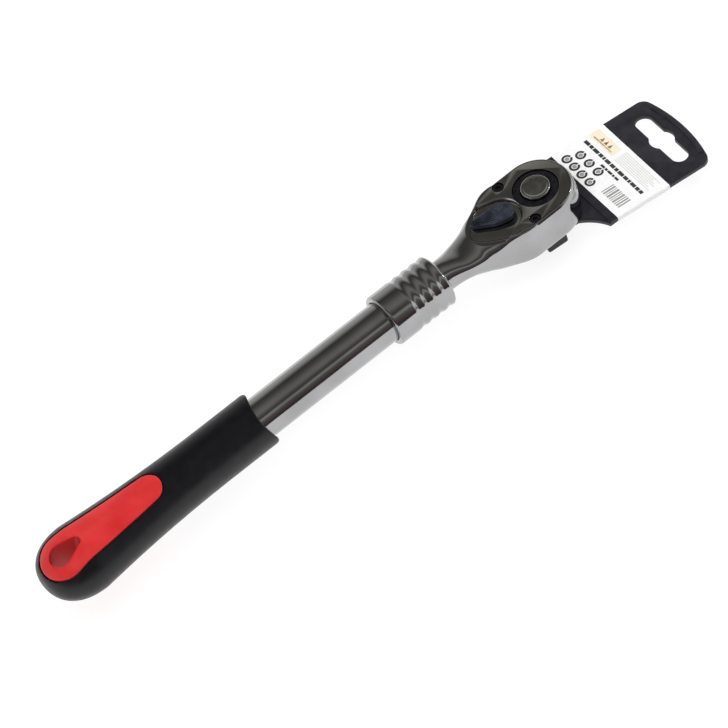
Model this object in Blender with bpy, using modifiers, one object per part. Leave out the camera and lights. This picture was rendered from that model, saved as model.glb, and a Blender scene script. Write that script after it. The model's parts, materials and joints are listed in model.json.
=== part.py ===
"""Extendable ratchet wrench with a 3/8 in square drive, on its retail hanger.

World frame: metres, +Z towards the face of the head, the handle along -X.
The origin is the centre of the square drive's end face.
"""

import math

import bmesh
import bpy
from mathutils import Vector

MM = 0.001
AXIS_CLEAR = 0.05 * MM

# Clearances
GAP = 0.3 * MM
PLATE_GAP = 0.2 * MM
RUNNING = 0.25 * MM
BALL_GAP = 0.2 * MM

# Head: heights are above or below the handle's axis, X is measured from the drive's axis
FACE = 7.8 * MM
FLOOR = 6.4 * MM
BASE = 10.0 * MM
HEAD_RADIUS = 15.3 * MM
HEAD_BULGE = 0.6 * MM
SIDE_END = 12.0 * MM
RIM = 1.0 * MM
PLATE_THICKNESS = 3.0 * MM
PLATE_TAIL = 33.6 * MM
POCKET_FLOOR = 7.0 * MM
RECESS_CENTRE = 19.3 * MM
RECESS_RADIUS = 8.7 * MM
RECESS_END = 44.0 * MM

# Drive
TEETH = 72
PITCH_ANGLE = 2 * math.pi / TEETH
TIP_RADIUS = 10.9 * MM
TOOTH_DEPTH = 0.5 * MM
GEAR_BOTTOM = 6.5 * MM
GEAR_TOP = 2.5 * MM
HUB_RADIUS = 9.4 * MM
HUB_BELOW_FACE = 0.4 * MM
LOWER_HUB_RADIUS = 7.6 * MM
LOWER_HUB_PROUD = 2.3 * MM
SQUARE = 9.5 * MM
SQUARE_LENGTH = 13.8 * MM
SQUARE_EDGE = 0.5 * MM
SQUARE_END_CHAMFER = 0.6 * MM
DRIVE_TURN = -PITCH_ANGLE
DRIVE_OPENING = HUB_RADIUS + GAP
POCKET_RADIUS = TIP_RADIUS + 0.4 * MM
AXIS_Z = BASE + LOWER_HUB_PROUD + SQUARE_LENGTH

# Quick release
BUTTON_RADIUS = 6.2 * MM
BUTTON_HEIGHT = 4.4 * MM
BUTTON_PROUD = 1.2 * MM
BUTTON_TRAVEL = 2.2 * MM
PIN_RADIUS = 1.6 * MM
PIN_WAIST = 0.9 * MM
PIN_TAIL = 0.8 * MM
SPRING_WELL_RADIUS = 3.3 * MM
SPRING_WELL_FLOOR = 4.0 * MM
SOCKET_BALL_RADIUS = 1.8 * MM
SOCKET_BALL_PROUD = 0.8 * MM
SOCKET_BALL_HEIGHT = 5.8 * MM

# Reversing lever, selector and pawl
LEVER_X = -16.8 * MM
LEVER_THROW = math.radians(20)
LEVER_BOSS = 4.4 * MM
LEVER_LENGTH = 12.7 * MM
LEVER_TIP = 1.6 * MM
LEVER_HEIGHT = 2.1 * MM
SHAFT_RADIUS = 3.0 * MM
STUB_RADIUS = 1.95 * MM
FLANGE_RADIUS = 3.7 * MM
PLUNGER_RADIUS = 1.0 * MM
PLUNGER_REACH = 3.4 * MM
PLUNGER_DEPTH = 2.0 * MM
PAWL_PIVOT_X = -15.0 * MM
PAWL_SWING = math.radians(4.5)
PAWL_HALF_SPAN = math.radians(38)
PAWL_RELIEF_SPAN = math.radians(20)
PAWL_INNER = TIP_RADIUS + GAP
PAWL_OUTER = 13.9 * MM
PAWL_ROOM_X = -11.0 * MM
PAWL_ROOM_RADIUS = 9.5 * MM
MESH_CLEARANCE = 0.12 * MM

# Cover screws
SCREW_X = -10.0 * MM
SCREW_Y = HEAD_RADIUS - 3.3 * MM
SCREW_HEAD_RADIUS = 2.2 * MM
SCREW_RADIUS = 1.2 * MM
SCREW_SEAT = 1.6 * MM
SCREW_LENGTH = 5.0 * MM

# Bar, tube and collar
BAR_RADIUS = 6.85 * MM
NECK_END = 50.0 * MM
TUBE_FRONT = 57.0 * MM
TUBE_REAR = 236.0 * MM
TUBE_RADIUS = 9.1 * MM
TUBE_BORE = 8.1 * MM
EXTENSION = 100.0 * MM
BUSH_LENGTH = 23.0 * MM
GUIDE_LENGTH = 17.0 * MM
SPIGOT_RADIUS = 4.5 * MM
BALL_X = 64.0 * MM
LOCK_BALL_RADIUS = 1.75 * MM
LOCK_BALL_CENTRE = 7.5 * MM
LOCK_BALL_TRAVEL = 1.15 * MM
SEAT_PITCH = 20.0 * MM
SEAT_DEPTH = 0.6 * MM
COLLAR_FRONT = 53.0 * MM
COLLAR_LENGTH = 29.0 * MM
COLLAR_RADIUS = 11.6 * MM
COLLAR_TRAVEL = 4.5 * MM
COLLAR_RIBS = 4
RIB_PITCH = 4.4 * MM
RIB_DEPTH = 0.4 * MM
CHAMBER_RADIUS = 10.5 * MM
REAR_LAND = 1.7 * MM
LIP_LENGTH = 2.2 * MM
SNAP_RING_X = 70.1 * MM
SNAP_RING_WIDTH = 0.7 * MM

# Grip
GRIP_FRONT = 146.0 * MM
GRIP_REAR = 259.0 * MM
GRIP_WIDEST = 239.0 * MM
GRIP_FLARE_START = 165.0 * MM
GRIP_RADIUS = 12.05 * MM
BUTT_RADIUS = 15.35 * MM
BUTT_FLATTENING = 0.12
BUTT_WIDENING = 0.05
GRIP_ROLL = math.radians(6.5)
MOUTH_BITE = 4.6 * MM
MOUTH_BITE_RADIUS = 18.1 * MM
MOUTH_TURN = math.radians(31.5)
INSERT_REAR_X = -247.4 * MM
INSERT_REAR_RADIUS = 9.95 * MM
INSERT_FRONT_X = -204.0 * MM
INSERT_FRONT_RADIUS = 6.4 * MM
INSERT_DEPTH = 1.6 * MM
HOLE_REAR_X = -248.7 * MM
HOLE_REAR_RADIUS = 4.9 * MM
HOLE_FRONT_X = -241.2 * MM
HOLE_FRONT_RADIUS = 2.4 * MM
HOLE_WALL = 1.8 * MM

# Retail hanger
HANGER_TURN = math.radians(-2.5)
HANGER_DROOP = math.radians(6.0)
HANGER_HALF_WIDTH = 22.75 * MM
HANGER_THICKNESS = 1.8 * MM
HANGER_TOP = 8.0 * MM
STEM_RADIUS = 11.5 * MM
SHOULDER_X = 16.2 * MM
SHOULDER_RADIUS = 23.0 * MM
HANGER_END = 70.0 * MM
END_RADIUS = 75.0 * MM
CORNER_RADIUS = 4.5 * MM
SLOT_X = 59.1 * MM
SLOT_LENGTH = 31.5 * MM
SLOT_LOBE = 3.7 * MM
SLOT_BULGE = 5.3 * MM
LABEL_START = 20.3 * MM
LABEL_END = 46.2 * MM
LABEL_THICKNESS = 0.2 * MM
LABEL_LIFT = 0.3 * MM

ROUND_STEPS = 36
SMALL_STEPS = 14


# Scene and small helpers


def clear_scene():
    for obj in list(bpy.data.objects):
        bpy.data.objects.remove(obj, do_unlink=True)


def new_collection(name):
    collection = bpy.data.collections.new(name)
    bpy.context.scene.collection.children.link(collection)
    return collection


clear_scene()
PARTS = new_collection("ratchet_wrench")
CUTTERS = new_collection("cutters")


def empty(name, location, parent=None, rotation=(0, 0, 0)):
    """A frame that pieces are parented to, such as a joint's axis."""
    obj = bpy.data.objects.new(name, None)
    obj.location = location
    obj.rotation_euler = rotation
    obj.parent = parent
    PARTS.objects.link(obj)
    return obj


def material(name, colour, roughness, metallic):
    mat = bpy.data.materials.new(name)
    mat.use_nodes = True
    shader = mat.node_tree.nodes["Principled BSDF"]
    shader.inputs["Base Color"].default_value = (*colour, 1)
    shader.inputs["Roughness"].default_value = roughness
    shader.inputs["Metallic"].default_value = metallic
    return mat


CHROME = material("chrome", (0.62, 0.62, 0.60), 0.12, 1.0)
DARK_CHROME = material("face_chrome", (0.30, 0.29, 0.27), 0.18, 1.0)
BLACK_STEEL = material("black_steel", (0.02, 0.02, 0.022), 0.35, 0.8)
SPRING_STEEL = material("spring_steel", (0.45, 0.45, 0.46), 0.3, 1.0)
LEVER_BLACK = material("lever_black", (0.03, 0.035, 0.05), 0.4, 0.3)
BUTTON_METAL = material("button_metal", (0.25, 0.25, 0.24), 0.25, 1.0)
GRIP_BLACK = material("grip_black", (0.008, 0.008, 0.010), 0.55, 0.0)
GRIP_RED = material("grip_red", (0.68, 0.03, 0.03), 0.4, 0.0)
GUIDE_PLASTIC = material("guide_plastic", (0.75, 0.74, 0.70), 0.5, 0.0)
HANGER_BLACK = material("hanger_black", (0.018, 0.018, 0.022), 0.45, 0.0)
LABEL_WHITE = material("label_white", (0.85, 0.85, 0.84), 0.6, 0.0)


def place(obj, look, parent):
    """Puts a finished piece, or a cutter where look is None, in its collection and on its frame."""
    obj.parent = parent
    if look is None:
        CUTTERS.objects.link(obj)
        obj.hide_render = True
        obj.display_type = "WIRE"
        return obj
    PARTS.objects.link(obj)
    obj.data.materials.clear()
    obj.data.materials.append(look)
    obj.data.shade_smooth()
    obj.data.set_sharp_from_angle(angle=math.radians(30))
    return obj


def cut(target, cutter, operation="DIFFERENCE"):
    modifier = target.modifiers.new(operation.lower() + "_" + cutter.name, "BOOLEAN")
    modifier.object = cutter
    modifier.operation = operation
    modifier.solver = "EXACT"
    return target


def mesh_from(name, bm):
    mesh = bpy.data.meshes.new(name)
    bmesh.ops.recalc_face_normals(bm, faces=bm.faces)
    bm.to_mesh(mesh)
    bm.free()
    return bpy.data.objects.new(name, mesh)


def box(name, low, high, look=None, parent=None):
    bm = bmesh.new()
    bmesh.ops.create_cube(bm, size=1)
    size = Vector(high) - Vector(low)
    middle = (Vector(high) + Vector(low)) / 2
    bmesh.ops.scale(bm, vec=size, verts=bm.verts)
    bmesh.ops.translate(bm, vec=middle, verts=bm.verts)
    return place(mesh_from(name, bm), look, parent)


def ball(name, radius, centre, look, parent):
    bm = bmesh.new()
    bmesh.ops.create_uvsphere(bm, u_segments=14, v_segments=8, radius=radius)
    obj = place(mesh_from(name, bm), look, parent)
    obj.location = centre
    return obj


def turned(name, profile, look=None, parent=None, along_x=False, steps=ROUND_STEPS, at=(0, 0, 0)):
    """A turned piece. The profile's (radius, height) points run down its outer side.

    A profile that starts off the axis is a ring, and is closed back to its first point.
    """
    mesh = bpy.data.meshes.new(name)
    points = [(radius, 0, height) for radius, height in profile]
    edges = [(i, i + 1) for i in range(len(points) - 1)]
    if profile[0][0] > 0:
        edges.append((len(points) - 1, 0))
    mesh.from_pydata(points, edges, [])
    obj = bpy.data.objects.new(name, mesh)
    screw = obj.modifiers.new("turn", "SCREW")
    screw.axis = "Z"
    screw.angle = 2 * math.pi
    screw.steps = steps
    screw.render_steps = steps
    screw.use_merge_vertices = True
    screw.merge_threshold = 0.00001
    screw.use_smooth_shade = True
    place(obj, look, parent)
    obj.location = at
    if along_x:
        obj.rotation_euler = (0, math.pi / 2, 0)
    return obj


def cylinder(
    name, radius, low, high, look=None, parent=None, along_x=False, steps=ROUND_STEPS, at=(0, 0, 0)
):
    profile = [(0, high), (radius, high), (radius, low), (0, low)]
    return turned(name, profile, look, parent, along_x, steps, at)


def arc(centre, radius, start, end, count):
    """Points along an arc, in degrees, both ends included."""
    angles = [math.radians(start + (end - start) * i / (count - 1)) for i in range(count)]
    return [(centre[0] + radius * math.cos(a), centre[1] + radius * math.sin(a)) for a in angles]


def flat_piece(name, outlines, bottom, top, look=None, parent=None):
    """An extruded flat shape. The first outline is the outside, and the others are holes."""
    curve = bpy.data.curves.new(name, "CURVE")
    curve.dimensions = "2D"
    curve.fill_mode = "BOTH"
    curve.extrude = (top - bottom) / 2
    for outline in outlines:
        spline = curve.splines.new("POLY")
        spline.points.add(len(outline) - 1)
        spline.use_cyclic_u = True
        for point, (x, y) in zip(spline.points, outline):
            point.co = (x, y, 0, 1)
    source = bpy.data.objects.new(name + "_curve", curve)
    bpy.context.scene.collection.objects.link(source)
    graph = bpy.context.evaluated_depsgraph_get()
    mesh = bpy.data.meshes.new_from_object(source.evaluated_get(graph))
    bpy.data.objects.remove(source)
    bm = bmesh.new()
    bm.from_mesh(mesh)
    bmesh.ops.remove_doubles(bm, verts=bm.verts, dist=0.000005)
    bmesh.ops.translate(bm, vec=(0, 0, (top + bottom) / 2), verts=bm.verts)
    obj = mesh_from(name, bm)
    return place(obj, look, parent)


def loft(name, rings, look=None, parent=None):
    """A closed skin over rings of equal point count, with flat end caps."""
    bm = bmesh.new()
    loops = [[bm.verts.new(point) for point in ring] for ring in rings]
    for near, far in zip(loops, loops[1:]):
        for i in range(len(near)):
            j = (i + 1) % len(near)
            bm.faces.new((near[i], near[j], far[j], far[i]))
    bm.faces.new(loops[0])
    bm.faces.new(loops[-1])
    return place(mesh_from(name, bm), look, parent)


def coil(name, radius, wire, low, high, turns, look, parent, along_x=False, at=(0, 0, 0), steps=12):
    """A compression spring between two heights, which are its wire's outer limits."""
    curve = bpy.data.curves.new(name, "CURVE")
    curve.dimensions = "3D"
    curve.bevel_depth = wire
    curve.bevel_resolution = 1
    curve.use_fill_caps = True
    spline = curve.splines.new("POLY")
    count = turns * steps + 1
    spline.points.add(count - 1)
    start = low + wire
    rise = high - low - 2 * wire
    for i, point in enumerate(spline.points):
        angle = 2 * math.pi * i / steps
        height = start + rise * i / (count - 1)
        point.co = (radius * math.cos(angle), radius * math.sin(angle), height, 1)
    source = bpy.data.objects.new(name + "_curve", curve)
    bpy.context.scene.collection.objects.link(source)
    graph = bpy.context.evaluated_depsgraph_get()
    mesh = bpy.data.meshes.new_from_object(source.evaluated_get(graph))
    bpy.data.objects.remove(source)
    bm = bmesh.new()
    bm.from_mesh(mesh)
    bmesh.ops.remove_doubles(bm, verts=bm.verts, dist=0.000005)
    obj = place(mesh_from(name, bm), look, parent)
    obj.location = at
    if along_x:
        obj.rotation_euler = (0, math.pi / 2, 0)
    return obj


def teardrop(rear_x, rear_radius, front_x, front_radius, count=12):
    """The outline round two circles on the X axis and their common tangents."""
    tilt = math.degrees(math.acos((rear_radius - front_radius) / (front_x - rear_x)))
    front = arc((front_x, 0), front_radius, -tilt, tilt, count)
    rear = arc((rear_x, 0), rear_radius, tilt, 360 - tilt, count * 2)
    return front + rear


# Frames

handle_axis = empty("handle_axis", (0, 0, AXIS_Z))
drive_axis = empty("drive_axis", (0, 0, 0), handle_axis, (0, 0, DRIVE_TURN))
lever_axis = empty("lever_axis", (LEVER_X, 0, 0), handle_axis, (0, 0, -LEVER_THROW))
pawl_axis = empty("pawl_axis", (PAWL_PIVOT_X, 0, 0), handle_axis, (0, 0, PAWL_SWING))
grip_axis = empty("grip_axis", (0, 0, 0), handle_axis, (GRIP_ROLL, 0, 0))
hanger_axis = empty("hanger_axis", (0, 0, 0), handle_axis, (0, 0, HANGER_TURN))
hanger_plane = empty("hanger_plane", (0, 0, -HANGER_TOP), hanger_axis, (0, HANGER_DROOP, 0))


# Head forging


def head_outline(grow):
    """The pear-shaped plan of the head, as far back as the neck."""
    radius = HEAD_RADIUS + grow
    upper = [(-SIDE_END, radius), (-20 * MM, radius - 1.9 * MM), (-24 * MM, radius - 4.4 * MM)]
    lower = [(x, -y) for x, y in reversed(upper)]
    return arc((0, 0), radius, -90, 90, 25) + upper + lower


def neck_ring(x, half_width, top, bottom, top_power, bottom_power, count=36):
    """A section of the neck: a superellipse whose halves have their own height and squareness."""
    points = []
    for i in range(count):
        angle = 2 * math.pi * i / count
        across, up = math.cos(angle), math.sin(angle)
        power = 2 / (top_power if up >= 0 else bottom_power)
        height = top if up >= 0 else bottom
        y = half_width * math.copysign(abs(across) ** power, across)
        z = height * math.copysign(abs(up) ** power, up)
        points.append((x, y, z))
    return points


def head_block():
    """The head's block, with sides that swell between the face and the rounded lower edge."""
    levels = [
        (-BASE, -1.5 * MM),
        (-BASE + 0.5 * MM, -0.6 * MM),
        (-BASE + 1.5 * MM, 0.05 * MM),
        (-BASE + 4.0 * MM, HEAD_BULGE),
        (0.0, HEAD_BULGE + 0.1 * MM),
        (FACE - 3.5 * MM, HEAD_BULGE * 0.7),
        (FACE - 1.0 * MM, 0.1 * MM),
        (FACE + 0.8 * MM, -0.3 * MM),
    ]
    rings = [[(x, y, z) for x, y in head_outline(grow)] for z, grow in levels]
    return loft("head_forging", rings, CHROME, handle_axis)


def head_neck():
    """The neck, from inside the block down to the round bar: wide and thin in the middle."""
    sections = [
        (-12, 15.7, 9.6, BASE / MM, 7, 12),
        (-16, 15.5, 9.8, BASE / MM, 7, 12),
        (-20, 14.6, 9.8, BASE / MM, 5, 9),
        (-25, 12.9, 9.2, 9.7, 3.2, 6),
        (-30, 11.6, 7.5, 9.1, 2.8, 4),
        (-33, 10.5, 6.8, 8.5, 2.4, 3.2),
        (-36, 9.6, 6.3, 7.9, 2.1, 2.7),
        (-39, 8.9, 5.8, 7.2, 2, 2.3),
        (-42, 8.2, 5.8, 6.8, 2, 2.1),
        (-46, 7.3, 6.3, 6.75, 2, 2),
        (-NECK_END / MM, BAR_RADIUS / MM, BAR_RADIUS / MM, BAR_RADIUS / MM, 2, 2),
    ]
    rings = [
        neck_ring(x * MM, width * MM, top * MM, bottom * MM, upper, lower)
        for x, width, top, bottom, upper, lower in sections
    ]
    return loft("neck", rings, None, handle_axis)


BUSH_FRONT = TUBE_FRONT + 0.5 * MM
GUIDE_FRONT = BUSH_FRONT + BUSH_LENGTH + EXTENSION + GAP
BAR_END = GUIDE_FRONT + GUIDE_LENGTH + 2.0 * MM
STOP_RING_X = GUIDE_FRONT + GUIDE_LENGTH + 0.7 * MM


def bar_solid():
    """The sliding bar, with the spigot that carries its guide and the groove for its stop ring."""
    groove = 0.5 * MM
    profile = [
        (0, -NECK_END + 1 * MM),
        (BAR_RADIUS - AXIS_CLEAR, -NECK_END + 1 * MM),
        (BAR_RADIUS, -NECK_END - 1 * MM),
        (BAR_RADIUS, -GUIDE_FRONT + GAP),
        (SPIGOT_RADIUS, -GUIDE_FRONT + GAP),
        (SPIGOT_RADIUS, -STOP_RING_X + groove),
        (SPIGOT_RADIUS - groove, -STOP_RING_X + groove),
        (SPIGOT_RADIUS - groove, -STOP_RING_X - groove),
        (SPIGOT_RADIUS, -STOP_RING_X - groove),
        (SPIGOT_RADIUS, -BAR_END + groove),
        (SPIGOT_RADIUS - groove, -BAR_END),
        (0, -BAR_END),
    ]
    return turned("bar", profile, None, handle_axis, along_x=True, steps=36)


def recess_outline():
    """The lever's recess: an arc ahead of the lever, opening towards the neck."""
    turn = 70
    front = arc((-RECESS_CENTRE, 0), RECESS_RADIUS, -turn, turn, 15)
    corner_x = -27 * MM
    last_x, last_y = front[-1]
    spread = last_y + (last_x - corner_x) / math.tan(math.radians(turn))
    wide = HEAD_RADIUS + 10 * MM
    upper = [(corner_x, spread), (corner_x, wide), (-RECESS_END, wide)]
    lower = [(x, -y) for x, y in reversed(upper)]
    return front + upper + lower


def plate_outline(grow):
    """The cover plate, set in from the head's rim and rounded at its tail."""
    radius = HEAD_RADIUS - RIM + grow
    upper = [
        (-SIDE_END, radius),
        (-20 * MM, radius - 1.9 * MM),
        (-25 * MM, radius - 4.9 * MM),
        (-30 * MM, 5.2 * MM + grow),
        (-PLATE_TAIL + 0.8 * MM, 1.9 * MM + grow),
    ]
    lower = [(x, -y) for x, y in reversed(upper)]
    tail = [(-PLATE_TAIL - grow, 0.0)]
    return arc((0, 0), radius, -90, 90, 25) + upper + tail + lower


SEAT = FACE - PLATE_THICKNESS


def bar_channel(name, side):
    """The lock ball's channel along the bar, with a deeper seat at each stop."""
    floor = LOCK_BALL_CENTRE - LOCK_BALL_RADIUS - BALL_GAP
    half = LOCK_BALL_RADIUS + BALL_GAP
    outline = teardrop(-BALL_X - EXTENSION, half + 0.01 * MM, -BALL_X, half, 8)
    low, high = sorted((side * floor, side * (BAR_RADIUS + 1 * MM)))
    channel = flat_piece(name, [outline], low, high, None, handle_axis)
    seats = int(EXTENSION / SEAT_PITCH) + 1
    cuts = [channel]
    for i in range(seats):
        low, high = sorted((side * (floor - SEAT_DEPTH), side * (BAR_RADIUS + 1.5 * MM)))
        at = (-BALL_X - i * SEAT_PITCH, 0, 0)
        cuts.append(
            cylinder(f"{name}_seat_{i}", half + 0.5 * MM, low, high, None, handle_axis, steps=12, at=at)
        )
    return cuts


def head_forging():
    head = head_block()
    cut(head, head_neck(), "UNION")
    cut(head, bar_solid(), "UNION")
    wide = HEAD_RADIUS + 12 * MM
    cut(head, box("face_trim", (-45 * MM, -wide, FACE), (wide, wide, FACE + 8 * MM), None, handle_axis))
    cut(head, flat_piece("recess_cut", [recess_outline()], FLOOR, FACE + 4 * MM, None, handle_axis))
    seat = flat_piece(
        "plate_seat", [plate_outline(PLATE_GAP)], SEAT - PLATE_GAP, FACE + 3 * MM, None, handle_axis
    )
    cut(head, seat)
    cut(head, cylinder("gear_pocket", POCKET_RADIUS, -POCKET_FLOOR, SEAT + 1 * MM, None, handle_axis))
    room_floor = -POCKET_FLOOR + 0.1 * MM
    room_top = SEAT + 1.1 * MM
    room_at = (PAWL_ROOM_X, 0, 0)
    cut(head, cylinder("pawl_room", PAWL_ROOM_RADIUS, room_floor, room_top, None, handle_axis, at=room_at))
    cut(
        head,
        cylinder("hub_bore", LOWER_HUB_RADIUS + GAP, -BASE - 1 * MM, -POCKET_FLOOR + 1 * MM, None, handle_axis),
    )
    for name, side in (("upper", 1), ("lower", -1)):
        hole_low = SEAT - SCREW_LENGTH - 0.7 * MM
        at = (SCREW_X, side * SCREW_Y, 0)
        hole = cylinder(
            f"screw_hole_{name}",
            SCREW_RADIUS + GAP,
            hole_low,
            SEAT + 1 * MM,
            None,
            handle_axis,
            steps=SMALL_STEPS,
            at=at,
        )
        cut(head, hole)
        for cutter in bar_channel(f"channel_{name}", side):
            cut(head, cutter)
    return head


def cover_plate():
    plate = flat_piece("cover_plate", [plate_outline(0)], SEAT, FACE, DARK_CHROME, handle_axis)
    cut(plate, bpy.data.objects["recess_cut"])
    cut(plate, cylinder("drive_opening", DRIVE_OPENING, SEAT - 1 * MM, FACE + 1 * MM, None, handle_axis))
    lever_at = (LEVER_X, 0, 0)
    shaft_hole = SHAFT_RADIUS + RUNNING
    cut(
        plate,
        cylinder("shaft_hole", shaft_hole, SEAT - 1 * MM, FACE, None, handle_axis, steps=24, at=lever_at),
    )
    for name, side in (("upper", 1), ("lower", -1)):
        at = (SCREW_X, side * SCREW_Y, 0)
        seat = FACE - SCREW_SEAT
        profile = [
            (0, FACE + 1 * MM),
            (SCREW_HEAD_RADIUS + GAP, FACE + 1 * MM),
            (SCREW_HEAD_RADIUS + GAP, seat),
            (SCREW_RADIUS + GAP, seat),
            (SCREW_RADIUS + GAP, SEAT - 1 * MM),
            (0, SEAT - 1 * MM),
        ]
        cut(plate, turned(f"screw_seat_{name}", profile, None, handle_axis, steps=20, at=at))
    return plate


def cover_screw(name, side):
    seat = FACE - SCREW_SEAT + 0.1 * MM
    head_top = FACE - 0.3 * MM
    profile = [
        (0, head_top),
        (SCREW_HEAD_RADIUS - 0.3 * MM, head_top),
        (SCREW_HEAD_RADIUS, head_top - 0.3 * MM),
        (SCREW_HEAD_RADIUS, seat),
        (SCREW_RADIUS, seat),
        (SCREW_RADIUS, SEAT - SCREW_LENGTH + 0.4 * MM),
        (SCREW_RADIUS - 0.4 * MM, SEAT - SCREW_LENGTH),
        (0, SEAT - SCREW_LENGTH),
    ]
    at = (SCREW_X, side * SCREW_Y, 0)
    screw = turned(name, profile, BLACK_STEEL, handle_axis, steps=20, at=at)
    socket = 1.2 * MM
    depth = 0.9 * MM
    key = cylinder(
        f"{name}_key", socket, head_top - depth, head_top + 1 * MM, None, handle_axis, steps=6, at=at
    )
    return cut(screw, key)


# Drive gear and quick release


def gear_outline(grow, centre=(0, 0), turn=0.0):
    """The ratchet wheel's outline: evenly spaced teeth with equal flanks, grown for a clearance."""
    shape = ((-0.32, 0), (-0.12, 1), (0.12, 1), (0.32, 0))
    points = []
    for tooth in range(TEETH):
        for share, up in shape:
            radius = TIP_RADIUS - TOOTH_DEPTH * (1 - up) + grow
            widen = grow / TIP_RADIUS * math.copysign(up, share)
            angle = (tooth + share) * PITCH_ANGLE + widen + turn
            points.append((centre[0] + radius * math.cos(angle), centre[1] + radius * math.sin(angle)))
    return points


BUTTON_TOP = FACE + BUTTON_PROUD
BUTTON_UNDER = BUTTON_TOP - BUTTON_HEIGHT
BUTTON_SEAT = BUTTON_UNDER - BUTTON_TRAVEL - 0.4 * MM
DRIVE_END = -AXIS_Z
SOCKET_BALL_Z = DRIVE_END + SOCKET_BALL_HEIGHT
SOCKET_BALL_CENTRE = SQUARE / 2 + SOCKET_BALL_PROUD - SOCKET_BALL_RADIUS


def drive_gear():
    gear = flat_piece("drive_gear", [gear_outline(0)], -GEAR_BOTTOM, GEAR_TOP, BLACK_STEEL, drive_axis)
    inside = HUB_RADIUS - 0.6 * MM
    hub_top = FACE - HUB_BELOW_FACE
    hub_end = -BASE - LOWER_HUB_PROUD
    hub = [
        (0, hub_top),
        (HUB_RADIUS - 0.4 * MM, hub_top),
        (HUB_RADIUS, hub_top - 0.4 * MM),
        (HUB_RADIUS, GEAR_TOP - 1 * MM),
        (inside, GEAR_TOP - 1 * MM),
        (inside, -GEAR_BOTTOM + 1 * MM),
        (LOWER_HUB_RADIUS, -GEAR_BOTTOM + 1 * MM),
        (LOWER_HUB_RADIUS, hub_end + 0.3 * MM),
        (LOWER_HUB_RADIUS - 0.3 * MM, hub_end),
        (0, hub_end),
    ]
    cut(gear, turned("drive_hub", hub, None, drive_axis), "UNION")
    half = SQUARE / 2
    bm = bmesh.new()
    bmesh.ops.create_cube(bm, size=1)
    length = SQUARE_LENGTH + 1 * MM
    bmesh.ops.scale(bm, vec=(SQUARE, SQUARE, length), verts=bm.verts)
    bmesh.ops.translate(bm, vec=(0, 0, DRIVE_END + length / 2), verts=bm.verts)
    upright = [e for e in bm.edges if abs(e.verts[0].co.z - e.verts[1].co.z) > half]
    bmesh.ops.bevel(bm, geom=upright, offset=SQUARE_EDGE, segments=1, affect="EDGES")
    end_edges = [e for e in bm.edges if all(v.co.z < DRIVE_END + AXIS_CLEAR for v in e.verts)]
    bmesh.ops.bevel(bm, geom=end_edges, offset=SQUARE_END_CHAMFER, segments=1, affect="EDGES")
    square = place(mesh_from("drive_square", bm), None, drive_axis)
    cut(gear, square, "UNION")
    well = [
        (0, FACE + 2 * MM),
        (BUTTON_RADIUS + GAP, FACE + 2 * MM),
        (BUTTON_RADIUS + GAP, BUTTON_SEAT),
        (SPRING_WELL_RADIUS, BUTTON_SEAT),
        (SPRING_WELL_RADIUS, -SPRING_WELL_FLOOR),
        (PIN_RADIUS + GAP, -SPRING_WELL_FLOOR),
        (PIN_RADIUS + GAP, SOCKET_BALL_Z - PIN_TAIL - BUTTON_TRAVEL - GAP),
        (0, SOCKET_BALL_Z - PIN_TAIL - BUTTON_TRAVEL - GAP),
    ]
    cut(gear, turned("release_bore", well, None, drive_axis, steps=28))
    side_bore = cylinder(
        "ball_bore", SOCKET_BALL_RADIUS + 0.15 * MM, 0, half + 1 * MM, None, drive_axis, steps=SMALL_STEPS
    )
    side_bore.location = (0, 0, SOCKET_BALL_Z)
    side_bore.rotation_euler = (-math.pi / 2, 0, 0)
    return cut(gear, side_bore)


def thrust_washer():
    low, high = GEAR_TOP + GAP, SEAT - GAP
    inner, outer = HUB_RADIUS + RUNNING, POCKET_RADIUS - RUNNING
    profile = [(outer, high), (outer, low), (inner, low), (inner, high)]
    return turned("thrust_washer", profile, SPRING_STEEL, handle_axis)


PIN_TOP = BUTTON_UNDER + 1.7 * MM


def release_button():
    rim = 0.6 * MM
    pin_hole = PIN_RADIUS + GAP
    profile = [
        (0, BUTTON_TOP - 0.15 * MM),
        (BUTTON_RADIUS - 2 * rim, BUTTON_TOP - 0.05 * MM),
        (BUTTON_RADIUS - rim, BUTTON_TOP),
        (BUTTON_RADIUS, BUTTON_TOP - rim),
        (BUTTON_RADIUS, BUTTON_UNDER),
        (pin_hole, BUTTON_UNDER),
        (pin_hole, PIN_TOP + GAP),
        (0, PIN_TOP + GAP),
    ]
    return turned("release_button", profile, BUTTON_METAL, drive_axis)


def release_pin():
    """The button's stem. Its full diameter holds the ball out, and its waist lets the ball in."""
    ball_z = SOCKET_BALL_Z
    profile = [
        (0, PIN_TOP),
        (PIN_RADIUS, PIN_TOP),
        (PIN_RADIUS, ball_z + BUTTON_TRAVEL + 3 * MM),
        (PIN_WAIST, ball_z + BUTTON_TRAVEL + 2 * MM),
        (PIN_WAIST, ball_z + BUTTON_TRAVEL),
        (PIN_RADIUS, ball_z + 0.3 * MM),
        (PIN_RADIUS, ball_z - PIN_TAIL),
        (0, ball_z - PIN_TAIL),
    ]
    return turned("release_pin", profile, SPRING_STEEL, drive_axis, steps=SMALL_STEPS)


def quick_release():
    release_button()
    release_pin()
    low, high = -SPRING_WELL_FLOOR + GAP, BUTTON_UNDER - GAP
    coil("button_spring", 2.6 * MM, 0.3 * MM, low, high, 4, SPRING_STEEL, drive_axis)
    centre = (0, SOCKET_BALL_CENTRE, SOCKET_BALL_Z)
    ball("socket_ball", SOCKET_BALL_RADIUS, centre, SPRING_STEEL, drive_axis)


# Reversing lever, selector shaft and pawl

LEVER_UNDER = FLOOR + RUNNING
LEVER_TOP = LEVER_UNDER + LEVER_HEIGHT
PLUNGER_BORE = PLUNGER_RADIUS + RUNNING


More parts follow.
